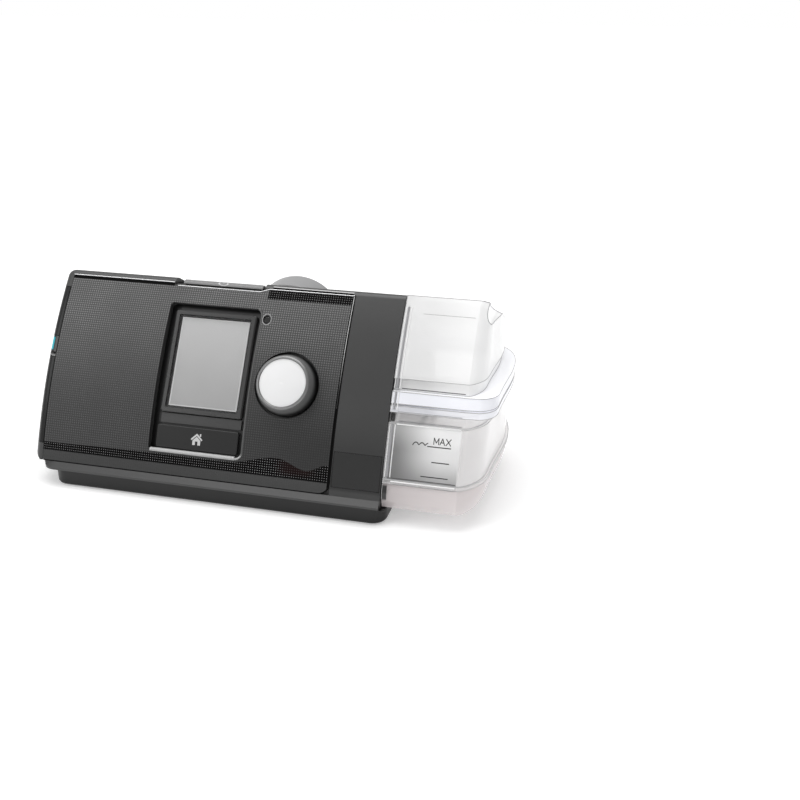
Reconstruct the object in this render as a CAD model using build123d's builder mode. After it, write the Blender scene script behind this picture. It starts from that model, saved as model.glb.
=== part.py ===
"""Bedside breathing-therapy machine with a docked, clear humidifier tub.

Frame: millimetres, +Z up, the front faces -Y and the tub docks on the +X side.
The origin is on the surface the machine stands on, under the middle of its box.
The sizes below are measured from a working origin a little above the table and right of the
middle; save moves each finished piece by the same step, so that the files share the frame above.
"""
from build123d import *
import os
from math import asin, atan, cos, sin, sqrt

os.makedirs("parts", exist_ok=True)

# ---------------------------------------------------------------- overall size
overall_width = 264.3
overall_depth = 150.0
body_width = 205.8
right_x = 131.5
left_x = right_x - overall_width
body_right_x = left_x + body_width
front_y = -overall_depth / 2
rear_y = overall_depth / 2
back_wall_y = rear_y - 6.0
table_z = -2.3
ground_gap = 0.4
tray_floor_z = 0.6

# ---------------------------------------------------------------- curved face and sloping top
face_radius = 300.0
face_foot_y = front_y + 3.5
face_foot_z = 11.0
ridge_corner_y = -12.6
ridge_corner_z = 107.9
top_back_z = 62.0
casing_floor_z = 7.4
ridge_round = 4.0
back_round = 10.0
edge_round = 5.0

# ---------------------------------------------------------------- walls and gaps
wall = 2.4
fascia_thickness = 1.8
fascia_pocket_depth = 2.0
seam_gap = 0.3
face_wall_depth = fascia_pocket_depth + wall
slide_gap = 0.7
easy_gap = 0.15
mesh_gap = 0.05
through = 12.0

# ---------------------------------------------------------------- fascia and what it frames
fascia_left_x = left_x + 6.0
fascia_right_x = 44.6
fascia_top_z = 105.2
recess_left_x = -62.2
recess_right_x = -6.6
recess_low_z = 23.2
recess_high_z = 96.0
panel_z = 65.0
screen_left_x = -58.2
screen_right_x = -9.9
screen_low = -24.7
screen_high = 33.9
screen_depth = 2.4
home_z = 31.0
home_width = 48.4
home_height = 12.6
home_travel = 0.6
dial_x = 14.3
dial_rise = -3.65
dial_hole_radius = 18.4
sensor_x = -3.4
sensor_z = 91.4
start_left_x = -58.0
start_right_x = -10.0
start_shelf_z = 103.8
start_travel = 0.7

# ---------------------------------------------------------------- humidifier bay and tub
bay_left_x = -6.0
bay_depth = 13.0
bay_wall = 1.8
bay_inset = 3.4
bay_back_y = 49.0
bay_floor_z = 9.6
tub_left_x = bay_left_x + bay_wall + 0.6
tub_step_x = body_right_x + 0.6
tub_wall = 2.0
tub_back_y = 46.5
tub_floor_z = 12.0
tub_low_z = 6.6
tub_crease_x = 114.0
rim_low_z = 54.5
rim_z = 58.0
rim_high_z = 64.0
seal_thickness = 1.0
port_radius = 7.0
port_places = [(-8.0, 70.0), (22.0, 67.5)]


def circle_centre():
    """Centre (y, z) of the arc that the face follows, from its foot and the ridge corner."""
    across = ridge_corner_y - face_foot_y
    rise = ridge_corner_z - face_foot_z
    chord = sqrt(across ** 2 + rise ** 2)
    reach = sqrt(face_radius ** 2 - (chord / 2) ** 2)
    middle_y = (face_foot_y + ridge_corner_y) / 2
    middle_z = (face_foot_z + ridge_corner_z) / 2
    return middle_y + reach * rise / chord, middle_z - reach * across / chord


centre_y, centre_z = circle_centre()
top_slope = (ridge_corner_z - top_back_z) / (back_wall_y - ridge_corner_y)
top_tilt = atan(top_slope)


def face_angle(height):
    """Angle of the face's arc, from level, at a height on its outer surface."""
    return asin((height - centre_z) / face_radius)


def arc_point(angle, depth):
    """Point (y, z) at a depth below the face."""
    radius = face_radius - depth
    return centre_y - radius * cos(angle), centre_z + radius * sin(angle)


def face_y(height, depth=0.0):
    """Depth coordinate of the face, or of a surface below it, at a height."""
    radius = face_radius - depth
    return centre_y - sqrt(radius ** 2 - (height - centre_z) ** 2)


def top_z(y, inset=0.0):
    """Height of the sloping top, or of a surface below it."""
    return ridge_corner_z - top_slope * (y - ridge_corner_y) - inset / cos(top_tilt)


def ridge_point(depth, inset):
    """Point (y, z) where a surface below the face meets a surface below the top."""
    start_y, start_z = 0.0, top_z(0.0, inset)
    step_y, step_z = -cos(top_tilt), sin(top_tilt)
    offset_y, offset_z = start_y - centre_y, start_z - centre_z
    along = offset_y * step_y + offset_z * step_z
    spare = offset_y ** 2 + offset_z ** 2 - (face_radius - depth) ** 2
    distance = -along - sqrt(along ** 2 - spare)
    if distance < 0:
        distance = -along + sqrt(along ** 2 - spare)
    return start_y + distance * step_y, start_z + distance * step_z


def face_plane(x, height):
    """Plane that touches the face: its x runs right, its y up the slope, its z outwards."""
    angle = face_angle(height)
    y, z = arc_point(angle, 0.0)
    return Plane(origin=(x, y, z), x_dir=(1, 0, 0), z_dir=(0, -cos(angle), sin(angle)))


def shifted(plane, across, up, out=0.0):
    """The same plane, moved in its own directions."""
    origin = plane.origin + plane.x_dir * across + plane.y_dir * up + plane.z_dir * out
    return Plane(origin=origin, x_dir=plane.x_dir, z_dir=plane.z_dir)


def side_solid(left, right, depth, inset, floor, back, ridge_radius, back_radius):
    """Solid with the machine's side outline: curved face, ridge, sloping top, upright back."""
    ridge_y, ridge_z = ridge_point(depth, inset)
    middle_z = (floor + ridge_z) / 2
    with BuildPart() as block:
        with BuildSketch(Plane.YZ.offset(left)) as section:
            with BuildLine():
                ThreePointArc(
                    (face_y(floor, depth), floor),
                    (face_y(middle_z, depth), middle_z),
                    (ridge_y, ridge_z),
                )
                Polyline(
                    (ridge_y, ridge_z),
                    (back, top_z(back, inset)),
                    (back, floor),
                    (face_y(floor, depth), floor),
                )
            make_face()
            fillet(section.vertices().sort_by(Axis.Y)[-1], ridge_radius)
            back_corner = section.vertices().group_by(Axis.X)[-1].sort_by(Axis.Y)[-1]
            fillet(back_corner, back_radius)
        extrude(amount=right - left)
    return block.part


def face_block(left, right, low, high, top_depth, bottom_depth, corner=0.0):
    """Block that follows the face between two heights and two depths below it."""
    low_angle, high_angle = face_angle(low), face_angle(high)
    middle_angle = (low_angle + high_angle) / 2
    thickness = bottom_depth - top_depth
    with BuildPart() as block:
        with BuildSketch(Plane.YZ.offset(left)):
            with BuildLine():
                ThreePointArc(*[arc_point(a, top_depth) for a in (low_angle, middle_angle, high_angle)])
                Line(arc_point(high_angle, top_depth), arc_point(high_angle, bottom_depth))
                ThreePointArc(*[arc_point(a, bottom_depth) for a in (high_angle, middle_angle, low_angle)])
                Line(arc_point(low_angle, bottom_depth), arc_point(low_angle, top_depth))
            make_face()
        extrude(amount=right - left)
        if corner > 0:
            short = block.edges().filter_by(GeomType.LINE)
            fillet(short.filter_by(lambda e: abs(e.length - thickness) < 0.001), corner)
    return block.part


def span_box(x_span, y_span, z_span):
    """Box between two ends on each axis."""
    size = [high - low for low, high in (x_span, y_span, z_span)]
    middle = [(high + low) / 2 for low, high in (x_span, y_span, z_span)]
    with BuildPart(Plane.XY.offset(z_span[0])) as block:
        with Locations((middle[0], middle[1])):
            Box(*size, align=(Align.CENTER, Align.CENTER, Align.MIN))
    return block.part


def plane_box(plane, x_span, y_span, z_span, corner=0.0):
    """Box between two ends on each axis of a plane, with its four standing edges rounded."""
    with BuildPart() as block:
        with BuildSketch(plane.offset(z_span[0])):
            with Locations(((x_span[0] + x_span[1]) / 2, (y_span[0] + y_span[1]) / 2)):
                if corner > 0:
                    RectangleRounded(x_span[1] - x_span[0], y_span[1] - y_span[0], corner)
                else:
                    Rectangle(x_span[1] - x_span[0], y_span[1] - y_span[0])
        extrude(amount=z_span[1] - z_span[0])
    return block.part


def slab(x_span, y_span, z_span, corner):
    """Level plate with rounded corners in plan."""
    return plane_box(Plane.XY, x_span, y_span, z_span, corner)


def grown(span, amount):
    """A span made longer by the same amount at both ends."""
    return (span[0] - amount, span[1] + amount)


def disc(plane, radius, low, high, hole=0.0):
    """Disc or ring that stands on a plane between two heights."""
    with BuildPart() as block:
        with BuildSketch(plane.offset(low)):
            Circle(radius)
            if hole > 0:
                Circle(hole, mode=Mode.SUBTRACT)
        extrude(amount=high - low)
    return block.part


def save(part, name):
    """Label one finished piece, stand it in the shared frame and write it to its own file."""
    placed = part.moved(Location((-(left_x + right_x) / 2, 0, -table_z)))
    placed.label = name
    export_step(placed, f"parts/{name}.step")
    print(name, len(part.solids()), round(part.volume / 1000, 2), "cm3")


panel_plane = face_plane(0.0, panel_z)
dial_plane = shifted(panel_plane, dial_x, dial_rise)
home_plane = face_plane((screen_left_x + screen_right_x) / 2, home_z)
sensor_plane = face_plane(sensor_x, sensor_z)


step_x = fascia_left_x
step_round = 4.0


def left_step(grow):
    """Space under the machine's left end, where the side stops above the base."""
    low_z, high_z = casing_floor_z - 5, face_foot_z + grow
    far_x, near_x = left_x - 5, step_x + grow
    with BuildPart() as step:
        with BuildSketch(Plane.XZ.offset(-rear_y)):
            with BuildLine():
                Polyline(
                    (near_x, low_z), (near_x, high_z), (left_x + step_round, high_z),
                    (left_x, high_z + step_round), (far_x, high_z + step_round), (far_x, low_z),
                    (near_x, low_z),
                )
            make_face()
        extrude(amount=rear_y - front_y + 5)
    return step.part


def rounded_body(inset):
    """The machine's body without its tub, its left end rounded, shrunk by an inset."""
    body = side_solid(
        left_x + inset, body_right_x, inset, inset, casing_floor_z,
        back_wall_y - inset, ridge_round - inset / 2, back_round - inset,
    )
    end_edges = body.edges().filter_by(lambda e: abs(e.center().X - left_x - inset) < 0.01)
    end_edges = end_edges.filter_by(lambda e: e.center().Z > casing_floor_z + 0.1)
    return fillet(end_edges, edge_round - inset)


# ---------------------------------------------------------------- left side covers
cover_thickness = 2.0
cover_edge_x = fascia_left_x - seam_gap - 0.15
card_cover_low_z = 65.8
card_cover_high_z = 99.0
card_hinge_y = 2.0
adapter_cover_low_z = 20.3
adapter_cover_high_z = 64.5
adapter_hinge_y = -8.0
cover_hinge_x = left_x + 1.3
cover_barrel_radius = 1.25
cover_pin_radius = 0.6
cover_rim = 7.0
light_low_z = 67.0
light_high_z = 74.8
light_depth = 5.0

body_outer = rounded_body(0.0)
body_cover_inner = rounded_body(cover_thickness)
body_pocket_floor = rounded_body(cover_thickness + seam_gap)


def cover_zone(low, high, hinge_y, grow):
    """Space that a side cover fills, seen from the left, with a margin all round."""
    under_top = side_solid(
        left_x - 10, cover_edge_x + 2 * grow, -5.0, cover_rim - grow, low - grow,
        hinge_y + 12, 1.0, 1.0,
    )
    window = span_box(
        (left_x - 10, cover_edge_x + 2 * grow),
        (front_y - 10, hinge_y + 6 * grow),
        (low - grow, high + grow),
    )
    return under_top & window


card_zone = cover_zone(card_cover_low_z, card_cover_high_z, card_hinge_y, 0.0)
card_pocket = cover_zone(card_cover_low_z, card_cover_high_z, card_hinge_y, seam_gap) - body_pocket_floor
adapter_zone = cover_zone(adapter_cover_low_z, adapter_cover_high_z, adapter_hinge_y, 0.0)
adapter_pocket = (
    cover_zone(adapter_cover_low_z, adapter_cover_high_z, adapter_hinge_y, seam_gap)
    - body_pocket_floor
)
light_zone = face_block(left_x - 10, cover_edge_x, light_low_z, light_high_z, -4.0, light_depth)
light_notch = face_block(
    left_x - 10, cover_edge_x + seam_gap, light_low_z - 2.5, light_high_z + seam_gap, -4.0,
    light_depth + seam_gap,
)


def hinge_rod(x, y, radius, low, high):
    """Upright rod, for a cover's barrel, its bore or its pin."""
    return disc(Plane(origin=(x, y, 0), z_dir=(0, 0, 1)), radius, low, high)


def side_cover(zone, low, high, hinge_y):
    """Thin cover that wraps the rounded left end, with a hinge barrel along its back edge."""
    barrel = hinge_rod(cover_hinge_x, hinge_y, cover_barrel_radius, low + 1.0, high)
    bore = hinge_rod(cover_hinge_x, hinge_y, cover_pin_radius + 0.05, low - 5, high + 5)
    with BuildPart() as cover:
        add((body_outer & zone) - body_cover_inner)
        add(barrel)
        add(bore, mode=Mode.SUBTRACT)
    return cover.part


card_barrel_high_z = top_z(card_hinge_y, cover_rim) - 1.0
card_cover_part = side_cover(card_zone, card_cover_low_z, card_barrel_high_z, card_hinge_y)
hinge_relief = span_box(
    (left_x - 1, left_x + 6), (card_hinge_y - 2.6, card_hinge_y + 2), (card_barrel_high_z, ridge_corner_z),
)
with BuildPart() as card_cover:
    add(card_cover_part)
    add(light_notch, mode=Mode.SUBTRACT)
    add(hinge_relief, mode=Mode.SUBTRACT)
save(card_cover.part, "card_cover")
with BuildPart() as adapter_cover:
    add(side_cover(adapter_zone, adapter_cover_low_z, adapter_cover_high_z - 1.0, adapter_hinge_y))
save(adapter_cover.part, "adapter_cover")

with BuildPart() as side_cover_pins:
    add(hinge_rod(cover_hinge_x, card_hinge_y, cover_pin_radius, card_cover_low_z - 0.2,
                  card_barrel_high_z + 1.5))
    add(hinge_rod(cover_hinge_x, adapter_hinge_y, cover_pin_radius, adapter_cover_low_z - 2.0,
                  adapter_cover_high_z + 0.2))
save(side_cover_pins.part, "side_cover_pins")

with BuildPart() as status_light:
    add(((body_outer & light_zone) - body_pocket_floor) & card_zone)
save(status_light.part, "status_light")

# ---------------------------------------------------------------- openings in the casing
recess_window = face_block(
    recess_left_x, recess_right_x, recess_low_z, recess_high_z, -3.0, face_wall_depth + 1.0, 2.5,
)
recess_shell_window = face_block(
    recess_left_x - seam_gap, recess_right_x + seam_gap, recess_low_z - seam_gap,
    recess_high_z + seam_gap, -3.0, face_wall_depth + 1.0, 2.8,
)
fascia_pocket = face_block(
    cover_edge_x + seam_gap, fascia_right_x + seam_gap, face_foot_z, fascia_top_z + seam_gap,
    -3.0, fascia_pocket_depth,
)
start_span_y = (ridge_corner_y - 20, ridge_corner_y + 9.2)


def start_bed(lift):
    """Space under the start button: level at the front, then sloping back as the top does."""
    front, back = start_span_y[0] - 1, start_span_y[1] + 1
    crest_z, low_z = start_shelf_z + lift, start_shelf_z - 30
    back_z = crest_z - top_slope * (back - ridge_corner_y)
    with BuildPart() as bed:
        with BuildSketch(Plane.YZ.offset(recess_left_x - 5)):
            with BuildLine():
                Polyline(
                    (front, crest_z), (ridge_corner_y, crest_z), (back, back_z),
                    (back, low_z), (front, low_z), (front, crest_z),
                )
            make_face()
        extrude(amount=recess_right_x - recess_left_x + 10)
    return bed.part


start_notch = span_box(
    (recess_left_x - 0.3, recess_right_x - 1.4), start_span_y, (start_shelf_z - 8, ridge_corner_z + 3),
) - start_bed(0)
dial_well_depth = 3.2
shaft_hole_radius = 4.0
dial_well = disc(dial_plane, dial_hole_radius + 0.6, -dial_well_depth, 6.0)
dial_shaft_hole = disc(dial_plane, shaft_hole_radius, -9.0, 1.0)
sensor_hole = disc(sensor_plane, 1.4, -6.0, 1.0)

# The back wall: a filter door on the left, the power socket beside it, the round air outlet.
filter_left_x, filter_right_x = -111.0, -73.0
filter_low_z, filter_high_z = 14.0, 54.0
filter_axis_y = back_wall_y - 1.3
filter_axis_x = filter_left_x + 1.8
filter_barrel_radius = 1.25
filter_pin_radius = 0.6
filter_door_thickness = 2.0
socket_left_x, socket_right_x = -67.6, -44.0
socket_low_z, socket_high_z = 9.9, 39.0
outlet_x = -18.4
outlet_z = 59.2
surround_radius = 29.6
surround_front_y = 50.0
surround_back_y = 71.0
outlet_radius = 11.0
outlet_bore_radius = 9.0
outlet_plane = Plane(origin=(outlet_x, 0, outlet_z), x_dir=(1, 0, 0), z_dir=(0, -1, 0))

filter_opening = span_box(
    (filter_left_x - 0.5, filter_right_x), (back_wall_y - 8, back_wall_y + 1),
    (filter_low_z, filter_high_z),
)
socket_opening = span_box(
    (socket_left_x - 0.2, socket_right_x + 0.2), (back_wall_y - 8, back_wall_y + 1),
    (socket_low_z - 0.2, socket_high_z + 0.2),
)
surround_opening = disc(outlet_plane, surround_radius + seam_gap, -rear_y, -surround_front_y + seam_gap)
bay_outer = side_solid(
    bay_left_x, body_right_x, bay_depth, bay_inset, bay_floor_z, bay_back_y, 3.0, 4.0,
)
bay_mouth = side_solid(
    body_right_x - 2 * wall, body_right_x + 5, bay_depth - 0.2, bay_inset - 0.2, bay_floor_z - 0.2,
    bay_back_y + 0.2, 3.0, 4.0,
)
badge_low_z, badge_high_z = 15.5, 32.8
badge_left_x, badge_right_x = fascia_right_x + 1.2, body_right_x - 0.9
badge_thickness = 0.8
badge_pocket = face_block(
    badge_left_x - 0.2, badge_right_x + 0.2, badge_low_z - 0.2, badge_high_z + 0.2, -3.0,
    badge_thickness + 0.06,
)
card_left_x = left_x + 2.9
card_length, card_width, card_thickness = 32.0, 24.0, 2.1
card_front_y = -30.0
card_z = 72.1
card_slot = span_box(
    (left_x - 1, left_x + 6), (card_front_y - 0.4, card_front_y + card_width + 0.4),
    (card_z - 0.4, card_z + card_thickness + 0.4),
)
adapter_y, adapter_z = -31.0, 42.0
adapter_slot = span_box(
    (left_x - 1, left_x + 6), (adapter_y - 9.0, adapter_y + 9.0), (adapter_z - 6.0, adapter_z + 6.0),
)
board_z = 70.0
ledge_y_places = [-22.0, 0.0]

# ---------------------------------------------------------------- upper casing
chin_round = 8.0
chin_depth = face_foot_y - front_y
chin_rise = 2.4
with BuildPart() as chin:
    add(span_box((step_x, body_right_x), (front_y, front_y + 15), (casing_floor_z, face_foot_z)))
    front_corner = chin.edges().filter_by(Axis.Z).sort_by(Axis.X).group_by(Axis.X)[0].sort_by(Axis.Y)[0]
    fillet(front_corner, chin_round)
    top_front = chin.edges().filter_by(Axis.X).group_by(Axis.Z)[-1].sort_by(Axis.Y)[0]
    chamfer(top_front, chin_depth - 0.1, chin_rise)
chin_corner = span_box(
    (step_x - 1, step_x + chin_round), (front_y - 1, front_y + chin_round),
    (casing_floor_z - 1, face_foot_z),
)
chin_corner -= hinge_rod(
    step_x + chin_round, front_y + chin_round, chin_round, casing_floor_z - 2, face_foot_z + 1,
)

casing_inner = side_solid(
    left_x + wall, body_right_x - wall, face_wall_depth, wall, casing_floor_z - 2,
    back_wall_y - wall, 1.5, back_round - wall,
) - left_step(wall)
left_wall_pad = casing_inner & span_box(
    (left_x + wall, left_x + 2 * wall), (front_y + 2, 8), (adapter_cover_low_z - 6, 95),
)
boss_radius = 3.4
boss_high_z = 24.0
screw_radius = 1.5
screw_places = [(-112.0, -62.5), (-118.0, 63.4), (67.8, -62.8), (67.8, 58.0)]
barrel_room = [
    hinge_rod(cover_hinge_x, card_hinge_y, cover_barrel_radius + 0.4, card_cover_low_z + 0.7,
              card_barrel_high_z + 0.3),
    hinge_rod(cover_hinge_x, adapter_hinge_y, cover_barrel_radius + 0.4, adapter_cover_low_z + 0.7,
              adapter_cover_high_z - 0.7),
]
cover_pin_bores = [
    hinge_rod(cover_hinge_x, card_hinge_y, cover_pin_radius + 0.02, card_cover_low_z - 0.3,
              card_barrel_high_z + 1.7),
    hinge_rod(cover_hinge_x, adapter_hinge_y, cover_pin_radius + 0.02, adapter_cover_low_z - 2.2,
              adapter_cover_high_z + 0.3),
]
filter_pin_bore = hinge_rod(
    filter_axis_x, filter_axis_y, filter_pin_radius + 0.02, filter_low_z - 2.2, filter_high_z + 1.7,
)

with BuildPart() as upper_casing:
    add(body_outer)
    add(chin.part)
    add(left_step(0), mode=Mode.SUBTRACT)
    add(chin_corner, mode=Mode.SUBTRACT)
    add(casing_inner, mode=Mode.SUBTRACT)
    add(left_wall_pad)
    for y in ledge_y_places:
        add(span_box((left_x + 2 * wall - 0.5, left_x + 14), (y, y + 2), (board_z - 4, board_z)))
    for x, y in screw_places:
        add(hinge_rod(x, y, boss_radius, casing_floor_z + 2.2, boss_high_z))
        add(hinge_rod(x, y, screw_radius + 0.05, casing_floor_z, boss_high_z - 4), mode=Mode.SUBTRACT)
    for cutter in (
        fascia_pocket, recess_shell_window, start_notch, dial_well, dial_shaft_hole, sensor_hole,
        filter_opening, socket_opening, surround_opening, bay_mouth, badge_pocket,
        card_pocket, adapter_pocket, card_slot, adapter_slot, filter_pin_bore,
        *barrel_room, *cover_pin_bores,
    ):
        add(cutter, mode=Mode.SUBTRACT)
save(upper_casing.part, "upper_casing")

with BuildPart() as badge_plate:
    add(face_block(badge_left_x, badge_right_x, badge_low_z, badge_high_z, 0.0, badge_thickness, 0.6))
save(badge_plate.part, "badge_plate")

# ---------------------------------------------------------------- front fascia
with BuildPart() as front_fascia:
    add(face_block(fascia_left_x, fascia_right_x, face_foot_z + 0.2, fascia_top_z, 0.0, fascia_thickness))
    corners = front_fascia.edges().filter_by(GeomType.LINE)
    corners = corners.filter_by(lambda e: abs(e.length - fascia_thickness) < 0.001)
    fillet(corners.group_by(Axis.Z)[0].sort_by(Axis.X)[-1], 6.0)
    corners = front_fascia.edges().filter_by(GeomType.LINE)
    corners = corners.filter_by(lambda e: abs(e.length - fascia_thickness) < 0.001)
    fillet(corners.sort_by(Axis.X)[:2], 1.5)
    add(recess_window, mode=Mode.SUBTRACT)
    add(disc(dial_plane, dial_hole_radius, -5.0, 5.0), mode=Mode.SUBTRACT)
    add(disc(sensor_plane, 2.4, -5.0, 5.0), mode=Mode.SUBTRACT)
    add(start_notch, mode=Mode.SUBTRACT)
save(front_fascia.part, "front_fascia")

# ---------------------------------------------------------------- screen and its bezel
frame_foot = -7.5
frame_corner, frame_chamfer = 1.5, 0.6
lens_border = 2.6
lens_low, lens_high = screen_low + lens_border, screen_high - lens_border
lens_left_x, lens_right_x = screen_left_x + lens_border, screen_right_x - lens_border
lens_out = -2.7
lens_thickness = 0.9
lens_corner = 0.8
lcd_margin = 1.2
lcd_back = -7.0
frame_cut = plane_box(
    panel_plane, grown((screen_left_x, screen_right_x), 0.2), grown((screen_low, screen_high), 0.2),
    (-through, 3.0), frame_corner + 0.2,
)
plunger_radius = 2.2
bezel_depth = face_wall_depth + 0.2
bezel_thickness = 1.6
bezel_lap = 3.0
bar_low_z, bar_high_z, bar_depth = 37.9, 42.6, 2.6
with BuildPart() as display_bezel:
    add(face_block(recess_left_x - bezel_lap - 1.0, recess_right_x + bezel_lap, recess_low_z - bezel_lap,
                   recess_high_z + bezel_lap - 0.4, bezel_depth, bezel_depth + bezel_thickness))
    add(face_block(screen_left_x - seam_gap, screen_right_x + seam_gap, bar_low_z, bar_high_z,
                   bar_depth, bezel_depth + 0.2))
    add(frame_cut, mode=Mode.SUBTRACT)
    add(disc(home_plane, plunger_radius + 0.5, -through, 1.0), mode=Mode.SUBTRACT)
save(display_bezel.part, "display_bezel")

lens_span_x, lens_span_up = (lens_left_x, lens_right_x), (lens_low, lens_high)
lcd_span_x, lcd_span_up = grown(lens_span_x, -lcd_margin), grown(lens_span_up, -lcd_margin)
lens_back = lens_out - lens_thickness
with BuildPart() as screen_frame:
    add(plane_box(panel_plane, (screen_left_x, screen_right_x), (screen_low, screen_high),
                  (frame_foot, -screen_depth), frame_corner))
    outer_face = screen_frame.faces().filter_by(lambda f: f.normal_at().dot(panel_plane.z_dir) > 0.99)
    chamfer(outer_face.edges(), frame_chamfer)
    add(plane_box(panel_plane, grown(lens_span_x, easy_gap), grown(lens_span_up, easy_gap),
                  (lens_back - 0.1, 1.0), lens_corner + 0.1), mode=Mode.SUBTRACT)
    add(plane_box(panel_plane, grown(lcd_span_x, seam_gap), grown(lcd_span_up, seam_gap),
                  (-through, 1.0), 0.5), mode=Mode.SUBTRACT)
save(screen_frame.part, "screen_frame")

with BuildPart() as screen_lens:
    add(plane_box(panel_plane, lens_span_x, lens_span_up, (lens_back, lens_out), lens_corner))
save(screen_lens.part, "screen_lens")

with BuildPart() as lcd_panel:
    add(plane_box(panel_plane, lcd_span_x, lcd_span_up, (lcd_back, lens_back - seam_gap)))
save(lcd_panel.part, "lcd_panel")

display_board_out = -9.0
display_board_span_up = (-29.0, 33.0)
board_thickness = 1.6
with BuildPart() as display_board:
    add(plane_box(panel_plane, (screen_left_x - 2, dial_x + 14), display_board_span_up,
                  (display_board_out - board_thickness, display_board_out), 1.0))
save(display_board.part, "display_board")

# ---------------------------------------------------------------- home button
home_out = -0.9
home_plate = 2.0
plunger_foot = -5.2
with BuildPart() as home_button:
    add(plane_box(home_plane, (-home_width / 2, home_width / 2), (-home_height / 2, home_height / 2),
                  (home_out - home_plate, home_out), 1.2))
    outer_face = home_button.faces().filter_by(lambda f: f.normal_at().dot(home_plane.z_dir) > 0.99)
    fillet(outer_face.edges(), 0.5)
    add(disc(home_plane, plunger_radius, plunger_foot, home_out - 1.0))
save(home_button.part, "home_button")

switch_half, switch_height = 3.1, 3.2
switch_plunger = 1.6
home_board_out = -9.7
home_switch_out = home_board_out + switch_height
with BuildPart() as home_switch:
    add(plane_box(home_plane, (-switch_half, switch_half), (-switch_half, switch_half),
                  (home_board_out, home_switch_out), 0.4))
    add(disc(home_plane, switch_plunger, home_switch_out - 0.1, plunger_foot - home_travel - mesh_gap))
save(home_switch.part, "home_switch")

with BuildPart() as home_board:
    add(plane_box(home_plane, (-13.0, 13.0), (-5.0, 5.0),
                  (home_board_out - board_thickness, home_board_out), 0.8))
save(home_board.part, "home_board")

# ---------------------------------------------------------------- dial and its encoder
shaft_radius = 3.0
knob_foot = -2.2
knob_foot_radius = 17.3
knob_rim_radius = 15.0
knob_rim_height = 8.0
knob_hub_radius, knob_web = 5.6, 3.6
cap_radius = 13.1
cap_floor = 6.0
rotor_low, rotor_high = -7.8, -5.9
rotor_radius = 5.0
encoder_half = 6.5
with BuildPart() as encoder_body:
    add(plane_box(dial_plane, (-encoder_half, encoder_half), (-encoder_half, encoder_half),
                  (display_board_out, -4.9), 0.6))
    add(disc(dial_plane, shaft_radius + 0.2, -through, 0.0), mode=Mode.SUBTRACT)
    add(disc(dial_plane, rotor_radius + 0.2, rotor_low - seam_gap, rotor_high + seam_gap),
        mode=Mode.SUBTRACT)
save(encoder_body.part, "encoder_body")

with BuildPart() as encoder_rotor:
    add(disc(dial_plane, rotor_radius, rotor_low, rotor_high, shaft_radius + mesh_gap))
save(encoder_rotor.part, "encoder_rotor")

with BuildPart() as dial_shaft:
    add(disc(dial_plane, shaft_radius, display_board_out + 0.9, 3.8))
save(dial_shaft.part, "dial_shaft")

dial_section_plane = Plane(
    origin=dial_plane.origin, x_dir=dial_plane.x_dir, z_dir=-dial_plane.y_dir,
)
with BuildPart() as dial_knob:
    with BuildSketch(dial_section_plane):
        with BuildLine():
            Polyline(
                (shaft_radius + 0.02, knob_foot), (knob_hub_radius, knob_foot), (knob_hub_radius, knob_web),
                (knob_rim_radius - 1.6, knob_web), (knob_foot_radius - 1.8, knob_foot),
                (knob_foot_radius, knob_foot), (knob_foot_radius, -0.6), (knob_rim_radius + 0.3, 5.9),
                (knob_rim_radius + 0.3, 6.3), (knob_rim_radius, 6.6),
            )
            ThreePointArc(
                (knob_rim_radius, 6.6), (knob_rim_radius - 0.45, knob_rim_height - 0.35),
                (knob_rim_radius - 1.3, knob_rim_height),
            )
            Polyline(
                (knob_rim_radius - 1.3, knob_rim_height), (cap_radius + 0.1, knob_rim_height - 0.5),
                (cap_radius + 0.1, cap_floor), (shaft_radius + 0.02, cap_floor),
                (shaft_radius + 0.02, knob_foot),
            )
        make_face()
    revolve(axis=Axis(dial_plane.origin, dial_plane.z_dir))
save(dial_knob.part, "dial_knob")

cap_rise = 1.2
dome_radius = (cap_radius ** 2 + cap_rise ** 2) / (2 * cap_rise)


def dome_height(radius):
    """Height of the cap's shallow dome at a distance from its axis."""
    return knob_rim_height + 0.5 - dome_radius + sqrt(dome_radius ** 2 - radius ** 2)


with BuildPart() as dial_cap:
    with BuildSketch(dial_section_plane):
        with BuildLine():
            Polyline(
                (0, cap_floor + mesh_gap), (cap_radius, cap_floor + mesh_gap),
                (cap_radius, dome_height(cap_radius)),
            )
            ThreePointArc(
                (cap_radius, dome_height(cap_radius)), (cap_radius / 2, dome_height(cap_radius / 2)),
                (0, dome_height(0)),
            )
            Line((0, dome_height(0)), (0, cap_floor + mesh_gap))
        make_face()
    revolve(axis=Axis(dial_plane.origin, dial_plane.z_dir))
save(dial_cap.part, "dial_cap")

with BuildPart() as light_sensor_lens:
    add(disc(sensor_plane, 2.1, -1.95, -0.5))
    rim = light_sensor_lens.edges().filter_by(GeomType.CIRCLE).sort_by(Axis.Y)[0]
    fillet(rim, 0.6)
save(light_sensor_lens.part, "light_sensor_lens")

# ---------------------------------------------------------------- start button on the ridge
start_inset = 0.9
start_round = 2.6
start_back_y = ridge_corner_y + 5.5
start_lift = start_travel + easy_gap
stem_high_z = start_shelf_z + 0.1
stem_low_z = 97.0
stem_half_width, stem_half_depth = 2.0, 1.5
start_middle_x = (start_left_x + start_right_x) / 2
start_y = -9.5
start_board_z = 92.2


def start_block(half_width, half_depth, z_span):
    """Block under the middle of the start button."""
    return span_box(
        (start_middle_x - half_width, start_middle_x + half_width),
        (start_y - half_depth, start_y + half_depth), z_span,
    )


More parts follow.
